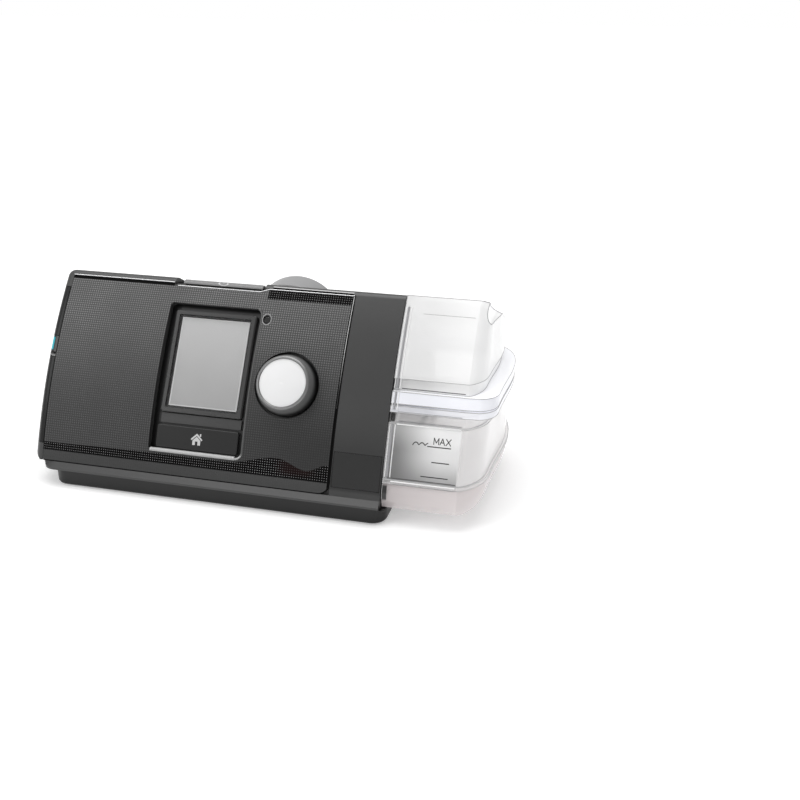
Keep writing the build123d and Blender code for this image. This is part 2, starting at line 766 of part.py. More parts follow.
with BuildPart() as start_button:
    add(side_solid(start_left_x, start_right_x, start_inset, start_inset, start_shelf_z - 6,
                   start_back_y, start_round, 0.3))
    add(start_bed(start_lift), mode=Mode.SUBTRACT)
    add(start_block(stem_half_width, stem_half_depth, (stem_low_z, stem_high_z)))
save(start_button.part, "start_button")

start_switch_z = start_board_z + switch_height
with BuildPart() as start_switch:
    add(start_block(3.0, 3.0, (start_board_z, start_switch_z)))
    add(hinge_rod(start_middle_x, start_y, 1.4, start_switch_z - 0.1, stem_low_z - start_travel - 0.1))
save(start_switch.part, "start_switch")

with BuildPart() as start_board:
    add(start_block(11.0, 5.0, (start_board_z - board_thickness, start_board_z)))
save(start_board.part, "start_board")

# ---------------------------------------------------------------- boards and sockets behind the covers
main_board_right_x = -64.0
main_board_span_y = (-33.0, 35.0)
with BuildPart() as main_board:
    add(span_box((left_x + 2 * wall + 0.5, main_board_right_x), main_board_span_y,
                 (board_z, board_z + board_thickness)))
save(main_board.part, "main_board")

card_bottom = board_z + board_thickness
card_socket_wall = 1.6
card_span_y = (card_front_y, card_front_y + card_width)
card_span_z = (card_z, card_z + card_thickness)
with BuildPart() as card_socket:
    add(span_box((left_x + 2 * wall + 0.6, card_left_x + card_length + 2),
                 grown(card_span_y, card_socket_wall), (card_bottom, card_span_z[1] + 1.3)))
    add(span_box((left_x, card_left_x + card_length + seam_gap), grown(card_span_y, 0.2),
                 grown(card_span_z, easy_gap)), mode=Mode.SUBTRACT)
save(card_socket.part, "card_socket")

card_corner = 3.5
with BuildPart() as memory_card:
    add(span_box((card_left_x, card_left_x + card_length), card_span_y, card_span_z))
    corner = memory_card.edges().filter_by(Axis.Z).group_by(Axis.X)[-1].sort_by(Axis.Y)[0]
    chamfer(corner, card_corner)
save(memory_card.part, "memory_card")

adapter_face_x = left_x + 2.8
adapter_length = 10.2


def adapter_block(x_span, half_width, half_height):
    """Block round the middle of the adapter socket."""
    return span_box(
        x_span, (adapter_y - half_width, adapter_y + half_width),
        (adapter_z - half_height, adapter_z + half_height),
    )


with BuildPart() as adapter_socket:
    add(adapter_block((adapter_face_x, adapter_face_x + adapter_length), 8.7, 5.7))
    add(adapter_block((left_x + 2 * wall + 0.1, left_x + 2 * wall + 2.0), 12.0, 9.0))
    add(adapter_block((left_x, left_x + 10.0), 7.0, 4.0), mode=Mode.SUBTRACT)
save(adapter_socket.part, "adapter_socket")

# ---------------------------------------------------------------- power socket and its clip
socket_x, socket_z = -55.8, 24.0
socket_radius = 5.2
socket_depth = 8.0
socket_boss_radius = 6.6
socket_face_y = back_wall_y - 0.4
panel_face_y = 66.2
clip_y, clip_z = 68.0, 13.4
clip_barrel_radius = 1.6
clip_pin_radius = 0.8
clip_left_x, clip_right_x = -65.3, -46.3
clip_arm = 2.4
clip_top_z = 36.0
back_plane = Plane(origin=(socket_x, 0, socket_z), x_dir=(-1, 0, 0), z_dir=(0, 1, 0))
clip_plane = Plane(origin=(0, clip_y, clip_z), x_dir=(0, 1, 0), z_dir=(1, 0, 0))
socket_span_x = (socket_left_x, socket_right_x)
socket_span_z = (socket_low_z, socket_high_z)
panel_thickness, flange_thickness = 2.8, 2.0
cheek = 1.8
flange_span_y = (panel_face_y - flange_thickness, panel_face_y)
can_span_x, can_span_z = (-64.0, -47.6), (14.0, 34.0)
can_back_y = 51.0
can_wall = 2.0
bore_floor_y = socket_face_y - socket_depth
contact_radius, contact_foot_radius = 1.2, 3.0
contact_foot_y = 53.0
with BuildPart() as power_socket:
    add(span_box(socket_span_x, (panel_face_y - panel_thickness, panel_face_y), socket_span_z))
    for low, high in ((socket_left_x, socket_left_x + cheek), (socket_right_x - cheek, socket_right_x)):
        add(span_box((low, high), (panel_face_y - 1, back_wall_y), socket_span_z))
    add(span_box((socket_left_x - 2.8, socket_left_x + 2), flange_span_y, (12.0, 37.0)))
    add(span_box((socket_right_x - 2, socket_right_x + 2.4), flange_span_y, (12.0, 28.0)))
    add(span_box(can_span_x, (can_back_y, panel_face_y - 2), can_span_z))
    add(disc(back_plane, socket_boss_radius, panel_face_y - 1, socket_face_y))
    mouth = power_socket.edges().filter_by(GeomType.CIRCLE).sort_by(Axis.Y)[-1]
    chamfer(mouth, 0.4)
    add(disc(back_plane, socket_radius, bore_floor_y, rear_y), mode=Mode.SUBTRACT)
    add(span_box(grown(can_span_x, -can_wall), (can_back_y - 1, bore_floor_y - cheek),
                 grown(can_span_z, -can_wall)), mode=Mode.SUBTRACT)
    add(disc(back_plane, contact_radius + 0.1, can_back_y - 1, panel_face_y - 1.2), mode=Mode.SUBTRACT)
    add(disc(clip_plane, clip_pin_radius + 0.02, socket_left_x - 1, socket_right_x + 1), mode=Mode.SUBTRACT)
save(power_socket.part, "power_socket")

with BuildPart() as socket_contacts:
    add(disc(back_plane, contact_radius, contact_foot_y, bore_floor_y - 0.1))
    add(disc(back_plane, contact_foot_radius, contact_foot_y - 0.8, contact_foot_y + 0.4))
save(socket_contacts.part, "socket_contacts")

clip_inner_y, clip_outer_y = clip_y - 1.4, clip_y + 1.0
clip_bar = 2.6
with BuildPart() as retaining_clip:
    add(disc(clip_plane, clip_barrel_radius, clip_left_x, clip_right_x))
    for low, high in ((clip_left_x, clip_left_x + clip_arm), (clip_right_x - clip_arm, clip_right_x)):
        add(span_box((low, high), (clip_inner_y, clip_outer_y), (clip_z, clip_top_z)))
    add(span_box((clip_left_x, clip_right_x), (clip_inner_y, clip_outer_y + 0.8),
                 (clip_top_z - clip_bar, clip_top_z)))
    add(disc(clip_plane, clip_pin_radius + mesh_gap, clip_left_x - 1, clip_right_x + 1), mode=Mode.SUBTRACT)
save(retaining_clip.part, "retaining_clip")

with BuildPart() as clip_pin:
    add(disc(clip_plane, clip_pin_radius, socket_left_x, socket_right_x))
save(clip_pin.part, "clip_pin")

# ---------------------------------------------------------------- filter behind its door
slot_count = 8
slot_pitch = 4.0
slot_width = 1.8
door_border = 4.0
door_left_x, door_right_x = filter_axis_x, filter_right_x - seam_gap
door_low_z, door_high_z = filter_low_z + seam_gap, filter_high_z - seam_gap
door_middle_x = (door_left_x + door_right_x) / 2 + 0.6
with BuildPart() as filter_cover:
    add(span_box((door_left_x, door_right_x), (back_wall_y - filter_door_thickness, back_wall_y),
                 (door_low_z, door_high_z)))
    add(hinge_rod(filter_axis_x, filter_axis_y, filter_barrel_radius, door_low_z, door_high_z))
    for number in range(slot_count):
        x = door_middle_x + (number - (slot_count - 1) / 2) * slot_pitch
        add(span_box((x - slot_width / 2, x + slot_width / 2), (back_wall_y - 4, rear_y),
                     (door_low_z + door_border, door_high_z - door_border)), mode=Mode.SUBTRACT)
    add(hinge_rod(filter_axis_x, filter_axis_y, filter_pin_radius + mesh_gap, filter_low_z - 9,
                  filter_high_z + 16), mode=Mode.SUBTRACT)
save(filter_cover.part, "filter_cover")

with BuildPart() as filter_cover_pin:
    add(hinge_rod(filter_axis_x, filter_axis_y, filter_pin_radius, filter_low_z - 2.0, filter_high_z + 1.5))
save(filter_cover_pin.part, "filter_cover_pin")

housing_span_x, housing_span_z = (-113.0, -71.3), (12.0, 56.0)
housing_back_y, housing_front_y = 57.5, 66.4
housing_wall = 1.6
filter_floor_y = housing_back_y + housing_wall
inlet_span_x, inlet_span_z = (-106.0, -78.0), (20.0, 48.0)
with BuildPart() as filter_housing:
    add(span_box(housing_span_x, (housing_back_y, housing_front_y), housing_span_z))
    add(span_box(grown(housing_span_x, -housing_wall), (filter_floor_y, rear_y),
                 grown(housing_span_z, -housing_wall)), mode=Mode.SUBTRACT)
    add(span_box(inlet_span_x, (housing_back_y - 2, filter_floor_y + 1), inlet_span_z), mode=Mode.SUBTRACT)
save(filter_housing.part, "filter_housing")

with BuildPart() as air_filter:
    add(span_box(grown(housing_span_x, -housing_wall - seam_gap),
                 (filter_floor_y + 0.2, housing_front_y - 1),
                 grown(housing_span_z, -housing_wall - seam_gap)))
save(air_filter.part, "air_filter")

# ---------------------------------------------------------------- air outlet
surround_floor_y = 53.0
surround_wall = 2.2
surround_round = 1.8
outlet_flange_radius = 14.0
outlet_flange_y = 55.0
outlet_front_y = 49.8
duct_gap = 0.2
manifold_wall = 1.6
manifold_span_x = (-31.4, bay_left_x - duct_gap)
manifold_span_y = (11.0, 49.6)
manifold_span_z = (47.0, 77.0)
air_plane = Plane(origin=(outlet_x, 0, outlet_z), x_dir=(-1, 0, 0), z_dir=(0, 1, 0))
with BuildPart() as outlet_surround:
    add(disc(air_plane, surround_radius, surround_front_y, surround_back_y))
    rims = outlet_surround.edges().filter_by(GeomType.CIRCLE)
    fillet(rims, surround_round)
    add(disc(air_plane, surround_radius - surround_wall, surround_floor_y, rear_y + 1), mode=Mode.SUBTRACT)
    add(disc(air_plane, outlet_radius + easy_gap, surround_front_y - 10, surround_front_y + 10),
        mode=Mode.SUBTRACT)
save(outlet_surround.part, "outlet_surround")

with BuildPart() as air_outlet:
    add(disc(air_plane, outlet_radius, outlet_front_y, rear_y))
    add(disc(air_plane, outlet_flange_radius, surround_floor_y + mesh_gap, outlet_flange_y))
    add(disc(air_plane, outlet_bore_radius, outlet_front_y - 10, rear_y + 5), mode=Mode.SUBTRACT)
save(air_outlet.part, "air_outlet")

port_a, port_b = port_places
with BuildPart() as outlet_duct:
    add(span_box(manifold_span_x, manifold_span_y, manifold_span_z))
    add(span_box(grown(manifold_span_x, -manifold_wall), grown(manifold_span_y, -manifold_wall),
                 grown(manifold_span_z, -manifold_wall)), mode=Mode.SUBTRACT)
    add(disc(air_plane, outlet_bore_radius, surround_front_y - 10, surround_front_y + 10),
        mode=Mode.SUBTRACT)
    port_plane = Plane(origin=(0, port_b[0], port_b[1]), x_dir=(0, 1, 0), z_dir=(1, 0, 0))
    add(disc(port_plane, port_radius, -15.0, 5.0), mode=Mode.SUBTRACT)
    roof = side_solid(manifold_span_x[0] - 1, manifold_span_x[1] + 1, 2.0, wall + 0.5, 30.0,
                      manifold_span_y[1] + 1, 0.5, 0.5)
    add(roof, mode=Mode.INTERSECT)
save(outlet_duct.part, "outlet_duct")

# ---------------------------------------------------------------- blower
blower_x, blower_y = -88.0, -2.0
blower_plane = Plane(origin=(blower_x, blower_y, 0), z_dir=(0, 0, 1))
blower_radius = 34.0
blower_wall = 2.0
mount_low_z, mount_high_z = tray_floor_z + mesh_gap, 7.0
housing_low_z, housing_high_z = 7.05, 34.0
motor_low_z, motor_high_z = 9.3, 22.2
motor_radius = 17.0
volute_low_z, volute_high_z = 23.6, 38.0
cover_high_z = 40.0
impeller_low_z = 24.6
impeller_radius = 25.0
shaft_r = 2.0
hub_radius = 6.0
blade_count = 9
blade_height = 7.5
blade_thickness = 1.2
duct_radius = 9.5
duct_bore = 7.8
stub_z = 29.0
stub_y = blower_y - 22.0
stub_end_x = blower_x + blower_radius + 2.0
mount_radius, mount_hole_radius = 22.0, 14.0
inlet_radius, inlet_lip_radius = 12.0, 14.4
with BuildPart() as blower_mount:
    add(disc(blower_plane, mount_radius, mount_low_z, mount_high_z, mount_hole_radius))
save(blower_mount.part, "blower_mount")

with BuildPart() as discharge:
    stub_plane = Plane(origin=(blower_x + 14.0, stub_y, stub_z), x_dir=(0, 1, 0), z_dir=(1, 0, 0))
    add(disc(stub_plane, duct_radius, 0.0, stub_end_x - blower_x - 14.0))
with BuildPart() as discharge_bore:
    add(disc(stub_plane, duct_bore, -6.0, stub_end_x - blower_x))
with BuildPart() as volute_space:
    add(disc(blower_plane, blower_radius - blower_wall, volute_low_z, volute_high_z))

with BuildPart() as blower_housing:
    add(disc(blower_plane, blower_radius, housing_low_z, housing_high_z))
    add(discharge.part & span_box((-100, 0), (-60, 40), (0, housing_high_z)))
    add(volute_space.part, mode=Mode.SUBTRACT)
    add(disc(blower_plane, motor_radius + 0.6, motor_low_z - 0.1, volute_low_z + 1), mode=Mode.SUBTRACT)
    add(disc(blower_plane, blower_radius - blower_wall, housing_low_z - 1, volute_low_z - 2,
             motor_radius + 2.6), mode=Mode.SUBTRACT)
    add(discharge_bore.part, mode=Mode.SUBTRACT)
save(blower_housing.part, "blower_housing")

with BuildPart() as blower_cover:
    add(disc(blower_plane, blower_radius, housing_high_z + mesh_gap, cover_high_z))
    add(discharge.part & span_box((-100, 0), (-60, 40), (housing_high_z + mesh_gap, cover_high_z)))
    add(disc(blower_plane, inlet_lip_radius, cover_high_z - 1, cover_high_z + 4))
    add(volute_space.part, mode=Mode.SUBTRACT)
    add(disc(blower_plane, inlet_radius, housing_high_z - 4, cover_high_z + 10), mode=Mode.SUBTRACT)
    add(discharge_bore.part, mode=Mode.SUBTRACT)
save(blower_cover.part, "blower_cover")

with BuildPart() as impeller:
    add(disc(blower_plane, impeller_radius, impeller_low_z, impeller_low_z + 1.4))
    add(disc(blower_plane, hub_radius, impeller_low_z, impeller_low_z + 1.4 + blade_height))
    with BuildSketch(blower_plane.offset(impeller_low_z + 1.3)):
        with PolarLocations(0, blade_count):
            with BuildLine():
                inner = ThreePointArc((hub_radius - 0.5, 0), (15.5, 3.4), (impeller_radius - 0.4, 1.5))
                outer = ThreePointArc(
                    (hub_radius - 0.5, blade_thickness), (15.5, 3.4 + blade_thickness),
                    (impeller_radius - 0.6, 1.5 + blade_thickness),
                )
                Line(inner @ 0, outer @ 0)
                Line(inner @ 1, outer @ 1)
            make_face()
    extrude(amount=blade_height)
    add(disc(blower_plane, shaft_r + 0.02, 20.0, 50.0), mode=Mode.SUBTRACT)
save(impeller.part, "impeller")

with BuildPart() as motor_shaft:
    add(disc(blower_plane, shaft_r, 11.0, impeller_low_z + blade_height))
save(motor_shaft.part, "motor_shaft")

with BuildPart() as motor:
    add(disc(blower_plane, motor_radius, motor_low_z, motor_high_z))
    add(disc(blower_plane, shaft_r + 0.08, 10.8, 40.0), mode=Mode.SUBTRACT)
save(motor.part, "motor")

with BuildPart() as blower_duct:
    with BuildLine() as duct_path:
        Spline(
            (stub_end_x + duct_gap, stub_y, stub_z), (bay_left_x - duct_gap, port_a[0], port_a[1]),
            tangents=[(1, 0, 0), (1, 0, 0)], tangent_scalars=[1.3, 1.3],
        )
    duct_start = Plane(origin=duct_path.line @ 0, x_dir=(0, 1, 0), z_dir=(1, 0, 0))
    with BuildSketch(duct_start):
        Circle(duct_radius)
        Circle(duct_bore, mode=Mode.SUBTRACT)
    sweep()
save(blower_duct.part, "blower_duct")

# ---------------------------------------------------------------- humidifier bay
bay_inner = side_solid(
    bay_left_x + bay_wall, body_right_x + 2, bay_depth + bay_wall, bay_inset + bay_wall,
    bay_floor_z + bay_wall, bay_back_y - bay_wall, 2.0, 2.6,
)
plate_x_span, plate_y_span = (2.3, 65.7), (-39.7, 35.7)
plate_top_z = bay_floor_z + bay_wall + 0.2
seal_outer_radius = 9.4
port_planes = [Plane(origin=(0, y, z), x_dir=(0, 1, 0), z_dir=(1, 0, 0)) for y, z in port_places]

with BuildPart() as humidifier_bay:
    add(bay_outer)
    add(bay_inner, mode=Mode.SUBTRACT)
    add(slab(grown(plate_x_span, 0.3), grown(plate_y_span, 0.3), (5.0, 15.0), 6.3), mode=Mode.SUBTRACT)
    for port_plane in port_planes:
        add(disc(port_plane, seal_outer_radius + 0.1, bay_left_x - 2, bay_left_x + bay_wall + 1),
            mode=Mode.SUBTRACT)
save(humidifier_bay.part, "humidifier_bay")

with BuildPart() as port_seals:
    for port_plane in port_planes:
        add(disc(port_plane, seal_outer_radius, bay_left_x - 0.1, tub_left_x - 0.1, port_radius + 0.3))
save(port_seals.part, "port_seals")

with BuildPart() as heater_plate:
    add(slab(plate_x_span, plate_y_span, (bay_floor_z + 0.2, plate_top_z), 6.0))
save(heater_plate.part, "heater_plate")

element_low_z = 8.0
with BuildPart() as heater_element:
    add(slab((8.0, 60.0), (-34.0, 30.0), (element_low_z, bay_floor_z + 0.15), 4.0))
save(heater_element.part, "heater_element")

# ---------------------------------------------------------------- tub
tub_depth = bay_depth + bay_wall + slide_gap
tub_roof_inset = bay_inset + bay_wall + slide_gap
lip_low_z, lip_high_z = 20.5, 22.3
window_high_z = 49.0
groove_high_z = 70.0
seal_low_z = rim_z - 0.5
seal_high_z = seal_low_z + seal_thickness
rim_reach_x = 131.3
lid_reach_x = 124.0
lid_top_reach_x = 121.0
neck_reach_x = lid_reach_x - 1.4
chamber_floor_z = tub_floor_z + tub_wall
cove_x, cove_z, cove_radius = 130.0, 102.0, 12.0


soft_corner = [(0.14, 0.010), (0.52, 0.062), (0.83, 0.24)]
sharp_corner = [(0.42, 0.008), (0.74, 0.045), (0.90, 0.16)]


def tub_outline(height, inset, reach, left, margin, sharp=False):
    """Plan of the tub's outer end at a height: straight front, rounded right end."""
    front = face_y(height, inset)
    back = tub_back_y - margin
    length = back - front
    bulge = reach - tub_crease_x
    corner_shape = sharp_corner if sharp else soft_corner
    corner_start = (1.0, 0.18) if sharp else (1.0, 0.62)
    with BuildSketch(Plane.XY.offset(height)) as outline:
        with BuildLine():
            Line((left, front), (tub_crease_x, front))
            corner = [(tub_crease_x + bulge * x, front + length * y) for x, y in corner_shape]
            Line((tub_crease_x, front), corner[0])
            end = Spline(
                *corner,
                (tub_crease_x + bulge, front + length * 0.58),
                (tub_crease_x + bulge * 0.82, front + length * 0.79),
                (tub_crease_x + bulge * 0.2, front + length * 0.94),
                (tub_crease_x - bulge * 0.8, back),
                tangents=[corner_start, (-1.0, 0.06)],
                tangent_scalars=[0.6, 0.6],
            )
            Polyline(end @ 1, (left, back), (left, front))
        make_face()
    return outline.sketch


def tub_tier(stations, left=tub_step_x, margin=0.0, sharp=False):
    """Solid through outlines; each station is a height, an inset of the front and a reach."""
    with BuildPart() as tier:
        for height, inset, reach in stations:
            add(tub_outline(height, inset, reach, left, margin, sharp))
        loft()
    return tier.part


def even_stations(low, high, inset, low_reach, high_reach, count):
    """Stations at even heights with one inset and an evenly changing reach."""
    steps = [number / (count - 1) for number in range(count)]
    return [(low + (high - low) * t, inset, low_reach + (high_reach - low_reach) * t) for t in steps]


def tub_side(floor, margin=0.0, right=tub_step_x + 2):
    """The part of the tub that slides inside the bay."""
    return side_solid(
        tub_left_x + margin, right, tub_depth + margin, tub_roof_inset + margin, floor,
        tub_back_y - margin, 3.0, 3.0,
    )


below_rim = span_box((-20, 140), (-80, 60), (0, seal_low_z))
seal_slab = span_box((-20, 140), (-80, 60), (seal_low_z, seal_high_z))
above_seal = span_box((-20, 140), (-80, 60), (seal_high_z, 120))
cavity_left_x = tub_step_x + tub_wall
cavity_right_x = cavity_left_x + 1.0
foot_cavity = [(tub_low_z + tub_wall, 5.6, 124.1), (tub_low_z + 5, 4.0, 125.5), (lip_low_z, 2.9, 127.0)]
window_cavity = even_stations(chamber_floor_z, window_high_z - 1, 2.8, 126.3, 126.3, 4)
groove_cavity = even_stations(window_high_z - 1.1, seal_low_z + 2, 4.4, 124.9, 124.9, 2)
base_cavity = (
    tub_side(chamber_floor_z, tub_wall, cavity_right_x)
    + tub_tier(foot_cavity, cavity_left_x, tub_wall)
    + tub_tier(window_cavity, cavity_left_x, tub_wall)
    + tub_tier(groove_cavity, cavity_left_x, tub_wall)
)
tub_plate_x, tub_plate_y = (4.0, 64.0), (-38.0, 34.0)
plate_ledge = 2.5
tub_plate_span_z = (tub_floor_z - 0.1, tub_floor_z + 1.2)
hinge_y, hinge_z = 50.2, 58.0
hinge_radius, hinge_pin_radius = 2.8, 1.0
hinge_plane = Plane(origin=(0, hinge_y, hinge_z), x_dir=(0, 1, 0), z_dir=(1, 0, 0))
base_knuckles = [(82.0, 87.0), (101.0, 106.0)]
lid_knuckle = (87.3, 100.7)

with BuildPart() as tub_base:
    add(tub_side(tub_floor_z) & below_rim)
    add(tub_tier([(tub_low_z, 4.4, 125.3), (tub_low_z + 4, 2.0, 127.5), (lip_low_z, 0.9, 129.1)]))
    add(tub_tier([(lip_low_z, 0.1, 129.9), (lip_high_z, 0.1, 129.9)]))
    add(tub_tier(even_stations(lip_high_z, window_high_z, 0.8, 128.3, 128.3, 4)))
    add(tub_tier([(window_high_z, 2.4, 126.9), (rim_low_z, 2.4, 126.9)]))
    add(tub_tier([(rim_low_z, 0.1, rim_reach_x), (seal_low_z, 0.1, rim_reach_x)], sharp=True))
    for low, high in base_knuckles:
        add(disc(hinge_plane, hinge_radius, low, high))
        add(span_box((low, high), (tub_back_y - 1, hinge_y), (hinge_z - 2.8, seal_low_z)))
    add(base_cavity, mode=Mode.SUBTRACT)
    add(slab(grown(tub_plate_x, 0.1), grown(tub_plate_y, 0.1),
             (tub_floor_z - 1, tub_plate_span_z[1] + mesh_gap), 6.1), mode=Mode.SUBTRACT)
    add(slab(grown(tub_plate_x, -plate_ledge), grown(tub_plate_y, -plate_ledge),
             (tub_floor_z - 2, tub_floor_z + 4), 4.0), mode=Mode.SUBTRACT)
    add(disc(hinge_plane, hinge_pin_radius + mesh_gap, 70.0, 120.0), mode=Mode.SUBTRACT)
    add(disc(hinge_plane, hinge_radius + seam_gap, *grown(lid_knuckle, seam_gap)), mode=Mode.SUBTRACT)
save(tub_base.part, "tub_base")

wall_band = (
    tub_side(30.0)
    + tub_tier([(seal_low_z - 1, 2.4, 126.9), (seal_high_z + 1, 2.4, 126.9)])
)
with BuildPart() as tub_seal:
    add(wall_band & seal_slab)
    add(tub_side(30.0, tub_wall, cavity_right_x), mode=Mode.SUBTRACT)
    add(tub_tier([(seal_low_z - 1, 4.4, 124.9), (seal_high_z + 1, 4.4, 124.9)], cavity_left_x, tub_wall),
        mode=Mode.SUBTRACT)
save(tub_seal.part, "tub_seal")

lid_roof = side_solid(cavity_left_x - 5, right_x + 5, -3.0, 0.4, 30.0, tub_back_y + 3, ridge_round, 2.0)
lid_roof_inner = side_solid(
    cavity_left_x - 5, right_x + 5, -3.0, 0.4 + tub_wall, 30.0, tub_back_y + 3, ridge_round, 2.0,
)
panel_stations = even_stations(groove_high_z, ridge_corner_z + 2, 0.3, lid_reach_x, lid_top_reach_x, 4)
hollow_stations = even_stations(
    groove_high_z + 1, ridge_corner_z + 2, 2.3, lid_reach_x - 2, lid_top_reach_x - 2, 4,
)
cove_plane = Plane(origin=(cove_x, 0, cove_z), x_dir=(1, 0, 0), z_dir=(0, -1, 0))
with BuildPart() as lid_cavity:
    add(tub_side(30.0, tub_wall, cavity_right_x) & above_seal)
    add(tub_tier(even_stations(seal_high_z, groove_high_z + 1, 4.2, neck_reach_x - 2, neck_reach_x - 2, 2),
                 cavity_left_x, tub_wall))
    add(tub_tier(hollow_stations, cavity_left_x, tub_wall) & lid_roof_inner)
    add(disc(cove_plane, cove_radius + tub_wall, -80.0, 80.0), mode=Mode.SUBTRACT)

with BuildPart() as tub_lid:
    add(tub_side(30.0) & above_seal)
    add(tub_tier([(seal_high_z, 0.1, rim_reach_x), (rim_high_z, 0.1, rim_reach_x)], sharp=True))
    add(tub_tier([(rim_high_z, 2.2, neck_reach_x), (groove_high_z, 2.2, neck_reach_x)]))
    add(tub_tier(panel_stations) & lid_roof)
    add(disc(hinge_plane, hinge_radius, *lid_knuckle))
    add(span_box(lid_knuckle, (tub_back_y - 1, hinge_y), (seal_high_z, hinge_z + 2.8)))
    add(disc(cove_plane, cove_radius, -80.0, 80.0), mode=Mode.SUBTRACT)
    add(lid_cavity.part, mode=Mode.SUBTRACT)
    for port_plane in port_planes:
        add(disc(port_plane, port_radius, tub_left_x - 2, tub_left_x + 4), mode=Mode.SUBTRACT)
    add(disc(hinge_plane, hinge_pin_radius + mesh_gap, 70.0, 120.0), mode=Mode.SUBTRACT)
    for low, high in base_knuckles:
        add(disc(hinge_plane, hinge_radius + seam_gap, low - seam_gap, high + seam_gap), mode=Mode.SUBTRACT)
save(tub_lid.part, "tub_lid")

with BuildPart() as tub_hinge_pin:
    add(disc(hinge_plane, hinge_pin_radius, base_knuckles[0][0], base_knuckles[1][1]))
save(tub_hinge_pin.part, "tub_hinge_pin")

with BuildPart() as tub_plate:
    add(slab(tub_plate_x, tub_plate_y, tub_plate_span_z, 6.0))
save(tub_plate.part, "tub_plate")

# ---------------------------------------------------------------- base, feet and screws
base_left_x, base_right_x = left_x + 13.3, body_right_x + 3.2
base_front_y, base_back_y = front_y + 0.4, back_wall_y - 1.0
base_low_z = table_z + ground_gap
base_lip_z = 5.9
base_corners = [
    (base_left_x, base_front_y), (base_right_x, base_front_y),
    (base_right_x, base_back_y), (left_x + 10.5, base_back_y),
]
base_rounds = [8.0, 8.0, 6.0, 5.0]
base_foot_round = 2.0
tray_wall = 2.2
shelf_high_z = casing_floor_z + 2.0
foot_radius, foot_height = 6.0, 2.2
foot_places = [(-98.0, -62.0), (54.0, -62.0), (-98.0, 56.0), (54.0, 56.0)]
screw_head_radius = 2.8
screw_post_radius = 4.0
screw_seat_z = 4.0
tray_roof = 1.6
shelf_front_y = -66.6
post_radius = 3.0
post_places = [(14.0, -27.0), (54.0, -27.0), (14.0, 23.0), (54.0, 23.0)]
with BuildPart() as base_casing:
    with BuildSketch(Plane.XY.offset(base_low_z)) as tray_outline:
        with BuildLine():
            Polyline(*base_corners, base_corners[0])
        make_face()
        for (x, y), radius in zip(base_corners, base_rounds):
            fillet(tray_outline.vertices().sort_by_distance(Vector(x, y, 0))[0], radius)
    extrude(amount=casing_floor_z - base_low_z - mesh_gap)
    fillet(base_casing.edges().group_by(Axis.Z)[0], base_foot_round)
    add(span_box((body_right_x, base_right_x + 1), (base_front_y - 1, base_back_y + 1),
                 (base_lip_z, through)), mode=Mode.SUBTRACT)
    add(span_box((step_x + wall + 0.4, body_right_x - wall - 0.4),
                 (shelf_front_y, back_wall_y - wall - 0.4), (casing_floor_z - seam_gap, shelf_high_z)))
    add(slab((base_left_x + tray_wall, body_right_x - tray_wall),
             (base_front_y + tray_wall + 5, base_back_y - tray_wall),
             (tray_floor_z, casing_floor_z - tray_roof), 5.0), mode=Mode.SUBTRACT)
    add(slab((base_left_x + 4, body_right_x - 6), (-62.0, 62.0), (tray_floor_z, through), 4.0),
        mode=Mode.SUBTRACT)
    add(disc(blower_plane, blower_radius + 0.6, casing_floor_z - tray_roof, through), mode=Mode.SUBTRACT)
    for x, y in screw_places:
        add(hinge_rod(x, y, screw_post_radius, base_low_z + 0.6, casing_floor_z - 0.1))
        add(hinge_rod(x, y, screw_head_radius + 0.2, table_z, screw_seat_z), mode=Mode.SUBTRACT)
        add(hinge_rod(x, y, screw_radius + 0.1, table_z, through), mode=Mode.SUBTRACT)
    for x, y in foot_places:
        add(hinge_rod(x, y, foot_radius + 2.0, base_low_z, tray_floor_z + 0.8))
        add(hinge_rod(x, y, foot_radius + 0.1, table_z, table_z + foot_height + mesh_gap),
            mode=Mode.SUBTRACT)
    for x, y in post_places:
        add(hinge_rod(x, y, post_radius, tray_floor_z - 0.5, element_low_z - mesh_gap))
save(base_casing.part, "base_casing")

with BuildPart() as rubber_feet:
    for x, y in foot_places:
        add(hinge_rod(x, y, foot_radius, table_z, table_z + foot_height))
save(rubber_feet.part, "rubber_feet")

screw_head_z = 1.6
drive_radius = 1.3
with BuildPart() as casing_screws:
    for x, y in screw_places:
        add(hinge_rod(x, y, screw_head_radius, screw_head_z, screw_seat_z - mesh_gap))
        add(hinge_rod(x, y, screw_radius, screw_seat_z - 0.1, boss_high_z - 4.5))
        add(hinge_rod(x, y, drive_radius, screw_head_z - 0.6, screw_head_z + 1.0), mode=Mode.SUBTRACT)
save(casing_screws.part, "casing_screws")
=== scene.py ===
# %% [markdown]
# # A bedside breathing-therapy machine with a clear water tub
# The machine is a dark box with a curved front, a small screen, a push dial and a few keys.
# A clear tub for water is docked at its right end.
# The solid model already fixes every size, hinge and seam, so this lesson adds what a solid
# model can't hold: moulded texture, clear plastic, printed marks, soft light and a camera.

# %% Load the fixed frame
from math import cos, pi, radians, sin, sqrt

import bmesh
import bpy
from mathutils import Euler, Matrix, Vector


